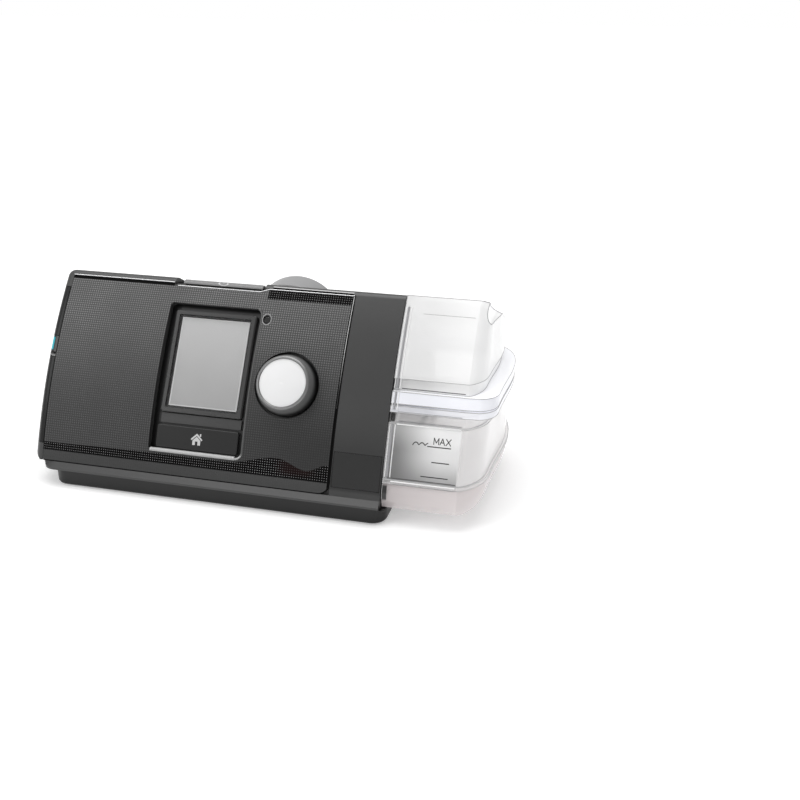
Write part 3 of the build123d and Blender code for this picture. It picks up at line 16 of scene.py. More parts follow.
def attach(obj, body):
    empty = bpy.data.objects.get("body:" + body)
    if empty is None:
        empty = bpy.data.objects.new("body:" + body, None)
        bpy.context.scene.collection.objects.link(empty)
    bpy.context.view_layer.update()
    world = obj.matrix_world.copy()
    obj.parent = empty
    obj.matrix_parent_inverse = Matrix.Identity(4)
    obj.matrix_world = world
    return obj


MM = 0.001
ORIGIN = Vector((0.65, 0, 2.3)) * MM
FACE_TOP = 105.3
PANEL_AT = (-44.9833 * MM, 65 * MM)
PANEL_UP = (0.528554, 0.848899)
PANEL_OUT = Vector((0, -PANEL_UP[1], PANEL_UP[0]))
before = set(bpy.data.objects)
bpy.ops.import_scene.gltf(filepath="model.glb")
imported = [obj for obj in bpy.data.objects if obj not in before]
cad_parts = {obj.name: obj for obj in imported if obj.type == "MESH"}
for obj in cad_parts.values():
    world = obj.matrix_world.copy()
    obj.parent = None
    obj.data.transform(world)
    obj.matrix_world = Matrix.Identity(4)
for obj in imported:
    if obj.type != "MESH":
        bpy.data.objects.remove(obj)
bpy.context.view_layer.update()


def at(x, y, z):
    """A point in metres from millimetres measured from the machine's own drawing origin."""
    return Vector((x, y, z)) * MM + ORIGIN


print("drawing origin", [round(v, 5) for v in at(0, 0, 0)])

# %% [markdown]
# ## The camera
# The machine is seen from its front, a little from the right and from above. A 45 mm lens on a
# 36 mm sensor gives a natural view. The camera is tipped sideways by a third of a degree, as a
# camera held in the hand is.

# %% Place the camera
CAMERA_AT = at(194.5, -522.2, 267.3)
CAMERA_TURN = radians(13.777)
CAMERA_DOWN = radians(22.965)
CAMERA_ROLL = radians(0.33)
camera_data = bpy.data.cameras.new("studio_camera")
camera_data.lens = 45
camera_data.sensor_width = 36
camera_data.clip_start = 0.01
camera_data.clip_end = 20
camera = bpy.data.objects.new("studio_camera", camera_data)
camera.location = CAMERA_AT
aimed = Euler((pi / 2 - CAMERA_DOWN, 0, CAMERA_TURN), "XYZ").to_matrix()
camera.rotation_euler = (aimed @ Matrix.Rotation(CAMERA_ROLL, 3, "Z")).to_euler()
bpy.context.collection.objects.link(camera)
bpy.context.scene.camera = camera
bpy.context.scene.view_settings.view_transform = "Standard"
print("camera", [round(v, 3) for v in camera.location])

# %% [markdown]
# ## Shader maths that reads like maths
# A material here is a small program. Building it node by node is slow to read, so one class
# wraps a socket and lets `+`, `-`, `*` and `/` add the Math nodes. Every other node comes from
# one method, `Finish.node`, which sets the node's options first and its inputs second.


# %% A number that flows through a material
class Flow:
    """A node's output socket; arithmetic on it adds Math nodes."""

    def __init__(self, finish, socket):
        self.finish = finish
        self.socket = socket

    def math(self, operation, *others):
        return self.finish.node("ShaderNodeMath", {"operation": operation}, [self, *others])

    def __add__(self, other):
        return self.math("ADD", other)

    __radd__ = __add__

    def __sub__(self, other):
        return self.math("SUBTRACT", other)

    def __rsub__(self, other):
        return self.finish.node("ShaderNodeMath", {"operation": "SUBTRACT"}, [other, self])

    def __mul__(self, other):
        return self.math("MULTIPLY", other)

    __rmul__ = __mul__

    def __truediv__(self, other):
        return self.math("DIVIDE", other)

    def step(self, low, high):
        """0 below low, 1 above high, smooth between them."""
        settings = {"interpolation_type": "SMOOTHSTEP"}
        return self.finish.node("ShaderNodeMapRange", settings, [self, low, high, 0.0, 1.0])

    def above(self, edge, soft):
        """0 below an edge and 1 above it; the edge may be a flow itself."""
        return (self - edge).step(-soft, soft)

    def between(self, low, high, soft):
        """1 between two edges, with soft ends."""
        return self.above(low, soft) * (1 - self.above(high, soft))

    def over(self, other):
        """The larger of two masks."""
        return self.math("MAXIMUM", other)


# %% A material and its one way to add a node
class Finish:
    """A material built from a Principled shader, with helpers for position and noise."""

    def __init__(self, name, **sockets):
        self.material = bpy.data.materials.new(name)
        self.material.use_nodes = True
        self.tree = self.material.node_tree
        self.tree.nodes.clear()
        self.output = self.tree.nodes.new("ShaderNodeOutputMaterial")
        self.shader = self.tree.nodes.new("ShaderNodeBsdfPrincipled")
        self.tree.links.new(self.shader.outputs[0], self.output.inputs[0])
        self.set(**sockets)

    def feed(self, socket, value):
        if isinstance(value, Flow):
            self.tree.links.new(value.socket, socket)
        elif isinstance(value, (tuple, list)) and len(value) == 3 and len(socket.default_value) == 4:
            socket.default_value = (*value, 1.0)
        else:
            socket.default_value = value

    def set(self, **sockets):
        for label, value in sockets.items():
            self.feed(self.shader.inputs[label.replace("_", " ")], value)
        return self

    def node(self, kind, settings=None, inputs=(), output=0):
        made = self.tree.nodes.new(kind)
        for label, value in (settings or {}).items():
            setattr(made, label, value)
        pairs = inputs.items() if isinstance(inputs, dict) else enumerate(inputs)
        for label, value in pairs:
            self.feed(made.inputs[label], value)
        return Flow(self, made.outputs[output])

    def place(self):
        """Position from the drawing origin, as x, y and z in metres."""
        point = self.node("ShaderNodeTexCoord", output="Object")
        point = self.node("ShaderNodeVectorMath", {"operation": "SUBTRACT"}, [point, ORIGIN])
        return [self.node("ShaderNodeSeparateXYZ", inputs=[point], output=axis) for axis in "XYZ"]

    def noise(self, scale, detail=2.0, roughness=0.5, stretch=(1, 1, 1)):
        point = self.node("ShaderNodeTexCoord", output="Object")
        point = self.node("ShaderNodeMapping", inputs={"Vector": point, "Scale": Vector(stretch)})
        numbers = {"Vector": point, "Scale": scale, "Detail": detail, "Roughness": roughness}
        return self.node("ShaderNodeTexNoise", inputs=numbers)

    def blend(self, factor, first, second):
        """Colour that goes from first to second as the factor goes from 0 to 1."""
        made = self.tree.nodes.new("ShaderNodeMix")
        made.data_type = "RGBA"
        colours = [socket for socket in made.inputs if socket.type == "RGBA"]
        self.feed(made.inputs["Factor"], factor)
        self.feed(colours[0], first)
        self.feed(colours[1], second)
        return Flow(self, next(socket for socket in made.outputs if socket.type == "RGBA"))

    def shade(self, level):
        """The grey whose level is a flow."""
        return self.blend(level, grey(0.0), grey(1.0))

    def patch(self, mask, **sockets):
        """Where the mask is 1, show a second shader instead of the first."""
        first, self.shader = self.shader, self.tree.nodes.new("ShaderNodeBsdfPrincipled")
        self.set(**sockets)
        mixed = self.node("ShaderNodeMixShader", inputs=[mask])
        shaders = mixed.socket.node.inputs
        self.tree.links.new(first.outputs[0], shaders[1])
        self.tree.links.new(self.shader.outputs[0], shaders[2])
        self.tree.links.new(mixed.socket, self.output.inputs[0])
        return self

    def bump(self, height, strength, distance):
        numbers = {"Height": height, "Strength": strength, "Distance": distance}
        return self.set(Normal=self.node("ShaderNodeBump", inputs=numbers))


def grey(level, tint=(1, 1, 1)):
    """A nearly neutral colour."""
    return tuple(level * part for part in tint)


def dress(finish, *nodes):
    """Give solid-model nodes a finish."""
    for name in nodes:
        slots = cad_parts[name].data.materials
        for index in range(len(slots)):
            slots[index] = finish.material
    print(finish.material.name, "on", len(nodes), "nodes")


# %% [markdown]
# ## Floor, backdrop and light
# The set is a pale studio: a floor, an even pale world and two soft lights. The floor adds some
# light of its own, more of it far from the machine, but only where the camera, a mirror or
# glass sees it. So the picture is white and the machine keeps its soft shadow.


# %% Build the set
def seen_directly(finish):
    """1 for camera, mirror and glass rays, 0 for the rays that light the machine."""
    rays = [
        finish.node("ShaderNodeLightPath", output=name)
        for name in ("Is Camera Ray", "Is Glossy Ray", "Is Transmission Ray")
    ]
    return rays[0].over(rays[1]).over(rays[2])


pale_floor = Finish("pale_floor", Base_Color=grey(0.8), Roughness=0.95, Specular_IOR_Level=0.0)
x, y, z = pale_floor.place()
far = (x * x + y * y).math("SQRT").step(0.25, 1.1)
glow = seen_directly(pale_floor) * (far * 0.58 + 0.33)
pale_floor.set(Emission_Color=pale_floor.shade(glow), Emission_Strength=1.0)
floor_mesh = bpy.data.meshes.new("studio_floor")
floor_mesh.from_pydata([(-6, -6, 0), (6, -6, 0), (6, 6, 0), (-6, 6, 0)], [], [(0, 1, 2, 3)])
floor = bpy.data.objects.new("studio_floor", floor_mesh)
bpy.context.collection.objects.link(floor)
floor_mesh.materials.append(pale_floor.material)

world = bpy.data.worlds.new("studio_world")
bpy.context.scene.world = world
world.use_nodes = True
world_tree = world.node_tree
world_tree.nodes.clear()
world_output = world_tree.nodes.new("ShaderNodeOutputWorld")
background = world_tree.nodes.new("ShaderNodeBackground")
ray = world_tree.nodes.new("ShaderNodeLightPath")
strength = world_tree.nodes.new("ShaderNodeMapRange")
WORLD_LIGHT = 0.55
strength.inputs[3].default_value = WORLD_LIGHT
world_tree.links.new(ray.outputs["Is Camera Ray"], strength.inputs[0])
world_tree.links.new(strength.outputs[0], background.inputs["Strength"])
background.inputs["Color"].default_value = (1, 1, 1, 1)
world_tree.links.new(background.outputs[0], world_output.inputs[0])


def soft_light(name, place, aim, size, power):
    """A rectangular soft light at a place, aimed at a point."""
    data = bpy.data.lights.new(name, "AREA")
    data.shape = "RECTANGLE"
    data.size, data.size_y = size
    data.energy = power
    light = bpy.data.objects.new(name, data)
    light.location = place
    light.rotation_euler = (Vector(aim) - Vector(place)).to_track_quat("-Z", "Y").to_euler()
    bpy.context.collection.objects.link(light)


soft_light("overhead_light", (-0.1, 0.15, 1.1), (0, 0, 0), (1.2, 0.8), 9.0)
soft_light("left_light", (-0.9, -0.7, 0.7), (0, 0, 0.05), (0.6, 0.6), 2.5)
print("set is ready")

# %% [markdown]
# ## Dark moulded plastics
# The case, the base and the covers are satin plastic. A real moulding has a fine spark-eroded
# grain that breaks up its highlights, and a roughness that changes a little over its surface.
# One function makes them all, so that the family looks related, and each gets its own depth of
# grey, its own gloss and its own grain. The case also has painted shade as a dark band and a
# painted highlight as a bright line along the front of its ridge, painted shade low at its right,
# and a light divider between the two covers at its left end. The base has painted shade that
# darkens it towards the floor, and the screen's bezel has painted shade at its left and top.


# %% Moulded plastic
def moulded(name, level, roughness, grain=0.35, tint=(1, 1, 1), cloud_size=18, grain_size=2600):
    """Satin plastic with a fine grain."""
    finish = Finish(name, IOR=1.5)
    cloud = finish.noise(cloud_size, 3)
    speck = finish.noise(grain_size, 2, 0.6)
    finish.base = finish.blend(cloud, grey(level * 0.88, tint), grey(level * 1.12, tint))
    finish.set(Base_Color=finish.base, Roughness=roughness - 0.05 + cloud * 0.1)
    return finish.bump(speck, grain, 0.00008)


case_plastic = moulded("case_plastic", 0.048, 0.36)
x, y, z = case_plastic.place()
divider = z.between(64.5 * MM, 65.8 * MM, 0.1 * MM) * (1 - x.above(-127.4 * MM, 0.3 * MM))
divider = divider * (1 - y.above(-14.2 * MM, 0.3 * MM))
# Painted shade: the case is darker low down at its right end.
low_right = (1 - z.step(20 * MM, 54 * MM)) * x.above(45 * MM, 0.3 * MM) * z.above(14 * MM, MM)
shaded = case_plastic.blend(low_right * 0.6, case_plastic.base, grey(0.004))
RIDGE = FACE_TOP * MM
ridge_front = x.between(-3.5 * MM, 43.6 * MM, 0.3 * MM) * (1 - y.above(-11.0 * MM, 0.3 * MM))
# Painted shade as a near-black band, and above it a painted highlight as a light line, along the ridge's
# front.
ridge_painted_shade = z.between(RIDGE + 0.1 * MM, RIDGE + 0.95 * MM, 0.08 * MM) * ridge_front
ridge_painted_highlight = z.between(RIDGE + 0.95 * MM, RIDGE + 1.3 * MM, 0.08 * MM) * ridge_front
shaded = case_plastic.blend(ridge_painted_highlight, shaded, grey(0.5))
case_plastic.set(Base_Color=case_plastic.blend(divider, shaded, grey(0.2)))
case_plastic.patch(ridge_painted_shade, Base_Color=grey(0.002), Roughness=0.5, Specular_IOR_Level=0.05)
panel_plastic = moulded("panel_plastic", 0.02, 0.3, 0.2)
base_plastic = moulded("base_plastic", 0.016, 0.34)
base_plastic.set(Specular_IOR_Level=0.3)
x, y, z = base_plastic.place()
# Painted shade: the base darkens towards the floor.
base_painted_shade = base_plastic.blend(z.step(-3 * MM, 8 * MM), grey(0.006), base_plastic.base)
base_plastic.set(Base_Color=base_painted_shade)
black_plastic = moulded("black_plastic", 0.008, 0.3)
black_plastic.set(Specular_IOR_Level=0.3)
frame_plastic = moulded("frame_plastic", 0.05, 0.28, 0.15)
key_plastic = moulded("key_plastic", 0.014, 0.3, 0.2)
top_key_plastic = moulded("top_key_plastic", 0.2, 0.3, 0.2)
inner_plastic = moulded("inner_plastic", 0.02, 0.5)
outlet_plastic = moulded("outlet_plastic", 0.3, 0.4, 0.2, (1, 1.0, 1.01))
duct_plastic = moulded("duct_plastic", 0.6, 0.5, 0.2, (1, 1, 0.97))
dress(case_plastic, "upper_casing", "retaining_clip", "filter_cover")
dress(black_plastic, "card_cover", "adapter_cover")
dress(panel_plastic, "badge_plate")
dress(base_plastic, "base_casing", "filter_housing", "humidifier_bay")
bezel_plastic = moulded("bezel_plastic", 0.06, 0.3, 0.2)
x, y, z = bezel_plastic.place()
# Painted shade: the bezel is painted near black at its left and top, in the recess's shadow.
bezel_unshaded = x.above(-57.4 * MM, 0.4 * MM) * (1 - z.above(92.0 * MM, 0.4 * MM))
bezel_plastic.set(Base_Color=bezel_plastic.blend(bezel_unshaded, grey(0.002), bezel_plastic.base))
dress(bezel_plastic, "display_bezel")
dress(black_plastic, "power_socket", "adapter_socket", "encoder_body")
dress(key_plastic, "home_button")
dress(top_key_plastic, "start_button")
dress(frame_plastic, "screen_frame")
dress(inner_plastic, "home_switch", "start_switch", "memory_card")
dress(outlet_plastic, "outlet_surround", "air_outlet")
dress(duct_plastic, "outlet_duct", "blower_housing", "blower_cover", "impeller")

# %% [markdown]
# ## The dotted front panel
# The front panel carries a grid of tiny raised dots. The panel is bent round a large cylinder,
# so the grid is measured along its arc: the arc length is the radius times the angle. Near the
# bottom, and at the top right, a black band carries the dots as painted highlights, bright glints
# on black. Elsewhere the dots are also painted lighter as highlights, more so towards the top, and
# the panel itself carries painted light: lighter towards its top, with painted shade at its lower right.

# %% Dot grid
FACE_CENTRE = (209.6866 * MM, -93.5663 * MM)
FACE_RADIUS = 300 * MM
DOT_PITCH = 1.32 * MM
FASCIA_RIGHT = 44.6 * MM
FASCIA_TOP = 105.2 * MM
BAND_LOW = 16.8 * MM


def dots(finish, pitch, radius):
    """1 on round dots in a square grid on the curved face, 0 between them."""
    x, y, z = finish.place()
    arc_length = (z - FACE_CENTRE[1]).math("ARCTAN2", FACE_CENTRE[0] - y) * FACE_RADIUS
    across = (x / pitch).math("FRACT") - 0.5
    along = (arc_length / pitch).math("FRACT") - 0.5
    away = (across * across + along * along).math("SQRT")
    return 1 - away.step(radius * 0.7, radius * 1.3)


fascia = Finish("fascia_plastic", IOR=1.5)
x, y, z = fascia.place()
spots = dots(fascia, DOT_PITCH, 0.3)
fine_spots = dots(fascia, DOT_PITCH, 0.14)
cloud = fascia.noise(40, 3)
speck = fascia.noise(1500, 2, 0.6)
rightness = x.step(-70 * MM, 44 * MM)
swell = x.step(-14 * MM, 13 * MM) * 4.5 * MM
swell = swell - x.step(14 * MM, 31 * MM) * 4.6 * MM
swell = swell + x.step(31 * MM, 42 * MM) * 3.6 * MM
band_top = x.step(-126 * MM, -60 * MM) * 0.8 * MM + 21.0 * MM + swell
low_band = z.above(BAND_LOW, 0.3 * MM) * (1 - z.above(band_top, 0.3 * MM))
low_band = low_band * (1 - x.above(43.2 * MM, 0.3 * MM))
top_band = z.above(100.8 * MM, 0.3 * MM) * x.above(-5.5 * MM, 0.3 * MM)
top_line = z.above(FASCIA_TOP - 1.7 * MM, 0.1 * MM) * (1 - x.above(-62.5 * MM, 0.3 * MM))
side_line = x.above(FASCIA_RIGHT - 1.3 * MM, 0.1 * MM)
dial_aside = (x - 14.3 * MM).math("POWER", 2.0)
dial_rise = ((z - 61.9 * MM) / PANEL_UP[1]).math("POWER", 2.0)
dial_away = (dial_aside + dial_rise).math("SQRT")
dial_shadow = 1 - dial_away.above(18.3 * MM, 0.15 * MM)
band = low_band.over(top_band)
# Painted reflection: a patch of the low band is painted lighter and warmer, and its dots weaker.
shine = x.between(16 * MM, 34 * MM, 5 * MM) * z.between(19 * MM, 26 * MM, 2 * MM) * low_band
# Painted light: the panel is lighter towards its top and carries painted shade at its lower right; below
# the low band it is lighter, more so towards the right.
below = 1 - z.above(BAND_LOW, 0.4 * MM)
shade = x.step(-60 * MM, 44 * MM) * (1 - z.step(30 * MM, 70 * MM))
bright = z.step(34 * MM, 104 * MM) * 0.029 + 0.022 - shade * 0.010
bright = bright + below * (rightness * 0.022 + 0.01)
plain = fascia.shade(bright)
# Painted highlights: the dots are painted lighter than the panel, more so towards the top and less in the
# painted shade.
glint_rise = z.step(50 * MM, 98 * MM) + 0.4
dot_glints = spots * (cloud * 0.9 + 0.3) * (1 - below) * (1 - shade * 0.7) * glint_rise
fascia.set(Base_Color=fascia.blend(dot_glints * 0.75, plain, grey(0.22)), Roughness=0.42)
fascia.bump(spots * 0.8 + speck * 0.3, 0.5, 0.00012)
# Painted highlights in the black bands: the dots are painted as bright glints.
lit_spots = fine_spots * band * (1 - shine * 0.8) * (cloud * 1.2 + 0.3)
ink = fascia.blend(shine * 0.8, grey(0.002), (0.016, 0.008, 0.008))
fascia.patch(
    band.over(top_line).over(side_line).over(dial_shadow),
    Base_Color=fascia.blend(lit_spots, ink, grey(0.42)),
    Roughness=0.5,
    Specular_IOR_Level=0.05,
)
dress(fascia, "front_fascia")

# %% [markdown]
# ## Screen, dial and light
# The screen is a grey reflective display behind a clear window. Its grey carries painted light
# that makes it lighter towards the top, and a painted highlight edges it. A window of real glass
# would darken the display in a path tracer, because no light comes through glass by the short way,
# so the window is mostly see-through and gets its gloss at a slant. The dial has a dark skirt
# with painted shade towards its foot, a bright metal ring and a nearly white cap that the thumb
# pushes.

# %% Screen and dial
window = Finish("window_clear", Base_Color=grey(0.06), Roughness=0.06, IOR=1.5)
slant = window.node("ShaderNodeLayerWeight", inputs={"Blend": 0.35}, output="Facing")
window.set(Alpha=slant * slant * 0.5 + 0.07)
dress(window, "screen_lens")

display = Finish("display_grey", Roughness=0.35, IOR=1.45)
x, y, z = display.place()
height = (y - PANEL_AT[0]) * PANEL_UP[0] + (z - PANEL_AT[1]) * PANEL_UP[1]
# Painted light: the display's grey is lighter towards its top, and a light painted highlight edges it
# outside its inner field.
inside = x.between(-53.6 * MM, -14.5 * MM, 0.12 * MM)
inside = inside * height.between(-20.1 * MM, 29.3 * MM, 0.12 * MM)
mottle = display.noise(60, 2) * 0.06
level = height.step(-22 * MM, 31 * MM) * 0.2 + 0.55 + mottle
field = display.shade(level)
display.set(Base_Color=display.blend(inside, grey(0.85), field))
dress(display, "lcd_panel")

DIAL_AT = Vector((14.3, -46.9125, 61.9015)) * MM
knob = Finish("knob_grey", IOR=1.5)
x, y, z = knob.place()
out = (y - DIAL_AT.y) * PANEL_OUT.y + (z - DIAL_AT.z) * PANEL_OUT.z
ring = out.above(6.9 * MM, 0.05 * MM)
# Painted shade: the skirt is near black at its foot and lighter towards its top.
skirt = knob.blend(out.step(0.6 * MM, 4.5 * MM), grey(0.003), grey(0.14))
brushed = knob.noise(900, 2, 0.6)
knob.set(
    Base_Color=knob.blend(ring, skirt, grey(0.24)),
    Metallic=ring * 0.8,
    Roughness=0.36 + brushed * 0.08,
)
knob.bump(brushed, 0.15, 0.00006)
dress(knob, "dial_knob")
cap_white = moulded("cap_white", 0.9, 0.42, 0.1, (1, 1, 1.005))
dress(cap_white, "dial_cap")

status = Finish("status_bar", Roughness=0.2, IOR=1.5)
x, y, z = status.place()
core = z.between(67.8 * MM, 73.9 * MM, 0.3 * MM) * x.between(-131.9 * MM, -129.5 * MM, 0.4 * MM)
status.set(
    Base_Color=status.blend(core, grey(0.01), (0.02, 0.3, 0.36)),
    Emission_Color=status.blend(core, grey(0.0), (0.02, 0.42, 0.5)),
    Emission_Strength=0.38,
)
dress(status, "status_light")
sensor = Finish("sensor_window", Roughness=0.1, IOR=1.5)
sensor.set(Base_Color=sensor.blend(sensor.noise(700, 2), grey(0.012), grey(0.03)))
dress(sensor, "light_sensor_lens")

# %% [markdown]
# ## Metal, rubber, felt and boards
# Turned and drawn metal shows fine lines in one direction, so its noise is stretched. Rubber is
# rough and slightly dusty. The filter is felt: short fibres that make a soft uneven surface.
# A circuit board is green lacquer over copper tracks that show as a faint raised pattern. The
# board high up under the start key is painted black as painted shade, because a slot behind the
# key shows it.


# %% Metal
def metal(name, colour, roughness, stretch, size=900):
    """Metal with fine lines along one direction."""
    finish = Finish(name, Metallic=1.0)
    lines = finish.noise(size, 2, 0.6, stretch)
    finish.set(
        Base_Color=finish.blend(lines, grey(0.86, colour), colour),
        Roughness=roughness + lines * 0.12,
    )
    return finish.bump(lines, 0.12, 0.00005)


steel = metal("drawn_steel", (0.6, 0.6, 0.62), 0.22, (1, 1, 0.05))
plate_metal = metal("brushed_plate", (0.72, 0.73, 0.75), 0.26, (0.05, 1, 1))
brass = metal("contact_brass", (0.78, 0.58, 0.26), 0.24, (1, 0.1, 1))
dress(steel, "dial_shaft", "side_cover_pins", "card_socket", "clip_pin", "filter_cover_pin")
dress(steel, "motor_shaft", "motor", "tub_hinge_pin", "casing_screws")
dress(plate_metal, "heater_plate", "tub_plate")
dress(brass, "socket_contacts", "encoder_rotor")


# %% Boards, rubber, felt and silicone
board = Finish("board_green", IOR=1.5)
x, y, z = board.place()
tracks = ((x + y) / (2.4 * MM)).math("FRACT").between(0.3, 0.55, 0.04)
tracks = tracks * board.noise(90, 1).above(0.5, 0.02)
green = board.blend(tracks, (0.012, 0.10, 0.04), (0.03, 0.2, 0.07))
# Painted shade: the board is painted near black above 92 mm.
board.set(Base_Color=board.blend(z.above(92 * MM, MM), green, grey(0.004)), Roughness=0.38)
board.bump(tracks, 0.4, 0.00005)
dress(board, "display_board", "home_board", "start_board", "main_board")
rubber = moulded("feet_rubber", 0.015, 0.75, 0.6, (1, 1, 1), 60, 1800)
silicone = moulded("soft_silicone", 0.55, 0.5, 0.25, (1, 1.02, 1.05), 30, 1200)
felt = moulded("filter_felt", 0.72, 0.9, 1.0, (1, 1, 0.97), 350, 900)
felt.bump(felt.noise(700, 4, 0.7, (1, 0.3, 1)), 1.0, 0.0004)
dress(rubber, "rubber_feet")
dress(silicone, "blower_mount", "blower_duct", "port_seals", "heater_element", "tub_seal")
dress(felt, "air_filter")

# %% [markdown]
# ## The clear tub
# The tub is thin clear plastic with a slight haze, seen against white. Its walls lie one behind
# another, so each is only a little hazy, and more so at a slant, where a real wall shows its
# edge. The front window below the rim is painted smoke grey, as painted shade of the metal plate
# behind it, lighter to the right and upward. The front grooves carry painted shade towards the
# left, and by the hinge notch the plastic is painted dark as painted shade of the bay behind it.
# The rim has a cool tone and the foot a warm one. A ray passes straight through, and the plastic
# glows a little as painted light, so the tub stays bright, and the shadow under it stays light.


# %% Clear plastic
WINDOW_LOW, WINDOW_TOP = 22.3, 49.0
RIM_LOW, RIM_TOP = 54.5, 64.0
NECK_TOP = 70.0


def clear_plastic(name, haze, glow):
    """Hazy clear plastic: haze is the share of light it scatters head-on, glow the painted light it emits.
    """
    finish = Finish(name, Roughness=0.1, IOR=1.5, Emission_Strength=1.0)
    x, y, z = finish.place()
    slant = finish.node("ShaderNodeLayerWeight", inputs={"Blend": 0.4}, output="Facing")
    rim = z.between(RIM_LOW * MM, RIM_TOP * MM, 0.2 * MM)
    foot = 1 - z.above(20.5 * MM, 0.2 * MM)
    window = z.between(WINDOW_LOW * MM, WINDOW_TOP * MM, 0.2 * MM)
    low_groove = z.between(WINDOW_TOP * MM, RIM_LOW * MM, 0.2 * MM)
    groove = low_groove.over(z.between(RIM_TOP * MM, NECK_TOP * MM, 0.2 * MM))
    front = (1 - (y - z * 0.46 + 74.5 * MM).above(0.0, 0.3 * MM)) * x.above(75.6 * MM, 0.2 * MM)
    front = front * (1 - x.above(113.0 * MM, 0.3 * MM))
    streak = finish.noise(26, 2, 0.5, (1, 1, 0.35))
    cool = finish.blend(rim, grey(0.97), (0.93, 0.94, 1.0))
    warm = finish.blend(foot, cool, (0.98, 0.91, 0.91))
    # Painted shade: the window pane is painted grey, lighter to the right and upward, with streaks.
    window_shade_level = x.step(74 * MM, 104 * MM) * (z.step(20 * MM, 36 * MM) * 0.5 + 0.2)
    window_shade_level = window_shade_level + z.step(36 * MM, 50 * MM) * 0.22 + streak * 0.16 + 0.1
    window_painted_shade = finish.shade(window_shade_level)
    # Painted shade: the front grooves are painted darker towards the left.
    groove_painted_shade = finish.blend(x.step(74 * MM, 108 * MM) * 0.8 + streak * 0.3, grey(0.3), grey(0.97))
    grooved = finish.blend(front * groove, warm, groove_painted_shade)
    pane = front * window
    # Painted shade: by the hinge notch and low at the tub's left end, the plastic is painted dark and
    # nearly opaque, for the dark bay behind it.
    gap = z.between(49.2 * MM, 54.3 * MM, 0.1 * MM).over(z.between(11 * MM, 19.6 * MM, 1.2 * MM))
    gap = gap * x.between(72 * MM, 76.3 * MM, 0.2 * MM)
    # Painted light: the plastic glows, more towards the right and on a block at the rim's outer end, less
    # in the front grooves, less at the foot, and not on the window or by the hinge notch.
    block = rim * x.between(113.5 * MM, 122 * MM, 0.4 * MM)
    outward = x.step(84 * MM, 116 * MM) * 0.7 + 0.3
    dim = (1 - pane) * (1 - front * groove * (1 - outward)) * (1 - gap) * (outward + block * 0.5)
    dim = dim * (1 - foot * 0.7)
    opacity = slant * slant * 0.5 + haze + rim * 0.3 + foot * 0.1 + (pane + gap) * 0.62
    finish.set(
        Base_Color=finish.blend(gap, finish.blend(pane, grooved, window_painted_shade), grey(0.03)),
        Emission_Color=finish.blend(dim, grey(0.0), grey(glow)),
        Alpha=opacity.math("MINIMUM", 1.0),
    )
    return finish


tub_clear = clear_plastic("tub_clear", 0.3, 0.2)
lid_clear = clear_plastic("lid_clear", 0.66, 0.14)
dress(tub_clear, "tub_base")
dress(lid_clear, "tub_lid")

# %% [markdown]
# ## Trim, marks and symbols
# Thin bright edges, painted as highlights, and printed marks are too small for the solid model.
# Each is a short strip or a flat mark that lies on the face it belongs to and moves with that
# face's body. The curved face is part of a cylinder, so one function gives the depth of the
# face at any height.


# %% Points and strips on the curved face
def face_y(height, inset=0.0):
    """Depth of the front face at a height, in millimetres, for a face sunk by an inset."""
    rise = height - FACE_CENTRE[1] / MM
    radius = FACE_RADIUS / MM - inset
    return FACE_CENTRE[0] / MM - sqrt(radius * radius - rise * rise)


def on_face(x, height, inset=0.0):
    """A point on the curved face, in metres."""
    return at(x, face_y(height, inset), height)


def link(name, mesh, finish, body):
    """Put a new piece in the scene, on its body and with its finish in a material slot."""
    piece = bpy.data.objects.new(name, mesh)
    bpy.context.collection.objects.link(piece)
    mesh.materials.append(finish.material)
    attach(piece, body)
    print(name, "rides on", body)
    return piece


def rods(name, paths, radius, finish, body, closed=False):
    """Thin round strips, one through each list of points."""
    curve = bpy.data.curves.new(name, "CURVE")
    curve.dimensions = "3D"
    curve.bevel_depth = radius * MM
    curve.bevel_resolution = 1
    curve.use_fill_caps = True
    for points in paths:
        line = curve.splines.new("POLY")
        line.points.add(len(points) - 1)
        for place, point in zip(line.points, points):
            place.co = (*point, 1.0)
        line.use_cyclic_u = closed
    return link(name, curve, finish, body)


def rod(name, points, radius, finish, body, closed=False):
    """One thin round strip through points."""
    return rods(name, [points], radius, finish, body, closed)


def arc(centre, radius, first, last, count=7):
    """Points on an arc, as pairs, from one angle in degrees to another."""
    turns = [radians(first + (last - first) * number / (count - 1)) for number in range(count)]
    return [(centre[0] + radius * cos(turn), centre[1] + radius * sin(turn)) for turn in turns]


# %% [markdown]
# The front panel is edged with a painted highlight: a bright metal line at its top and right,
# which steps down at the start key and fades to dark grey low on the right side. A black gap
# runs down its right side and along its bottom.

# %% Painted highlight round the front panel
top_highlight_metal = metal("top_highlight_metal", (0.8, 0.8, 0.81), 0.22, (0.1, 1, 1))
side_highlight_metal = metal("side_highlight_metal", (0.8, 0.8, 0.81), 0.22, (1, 1, 0.1))
x, y, z = side_highlight_metal.place()
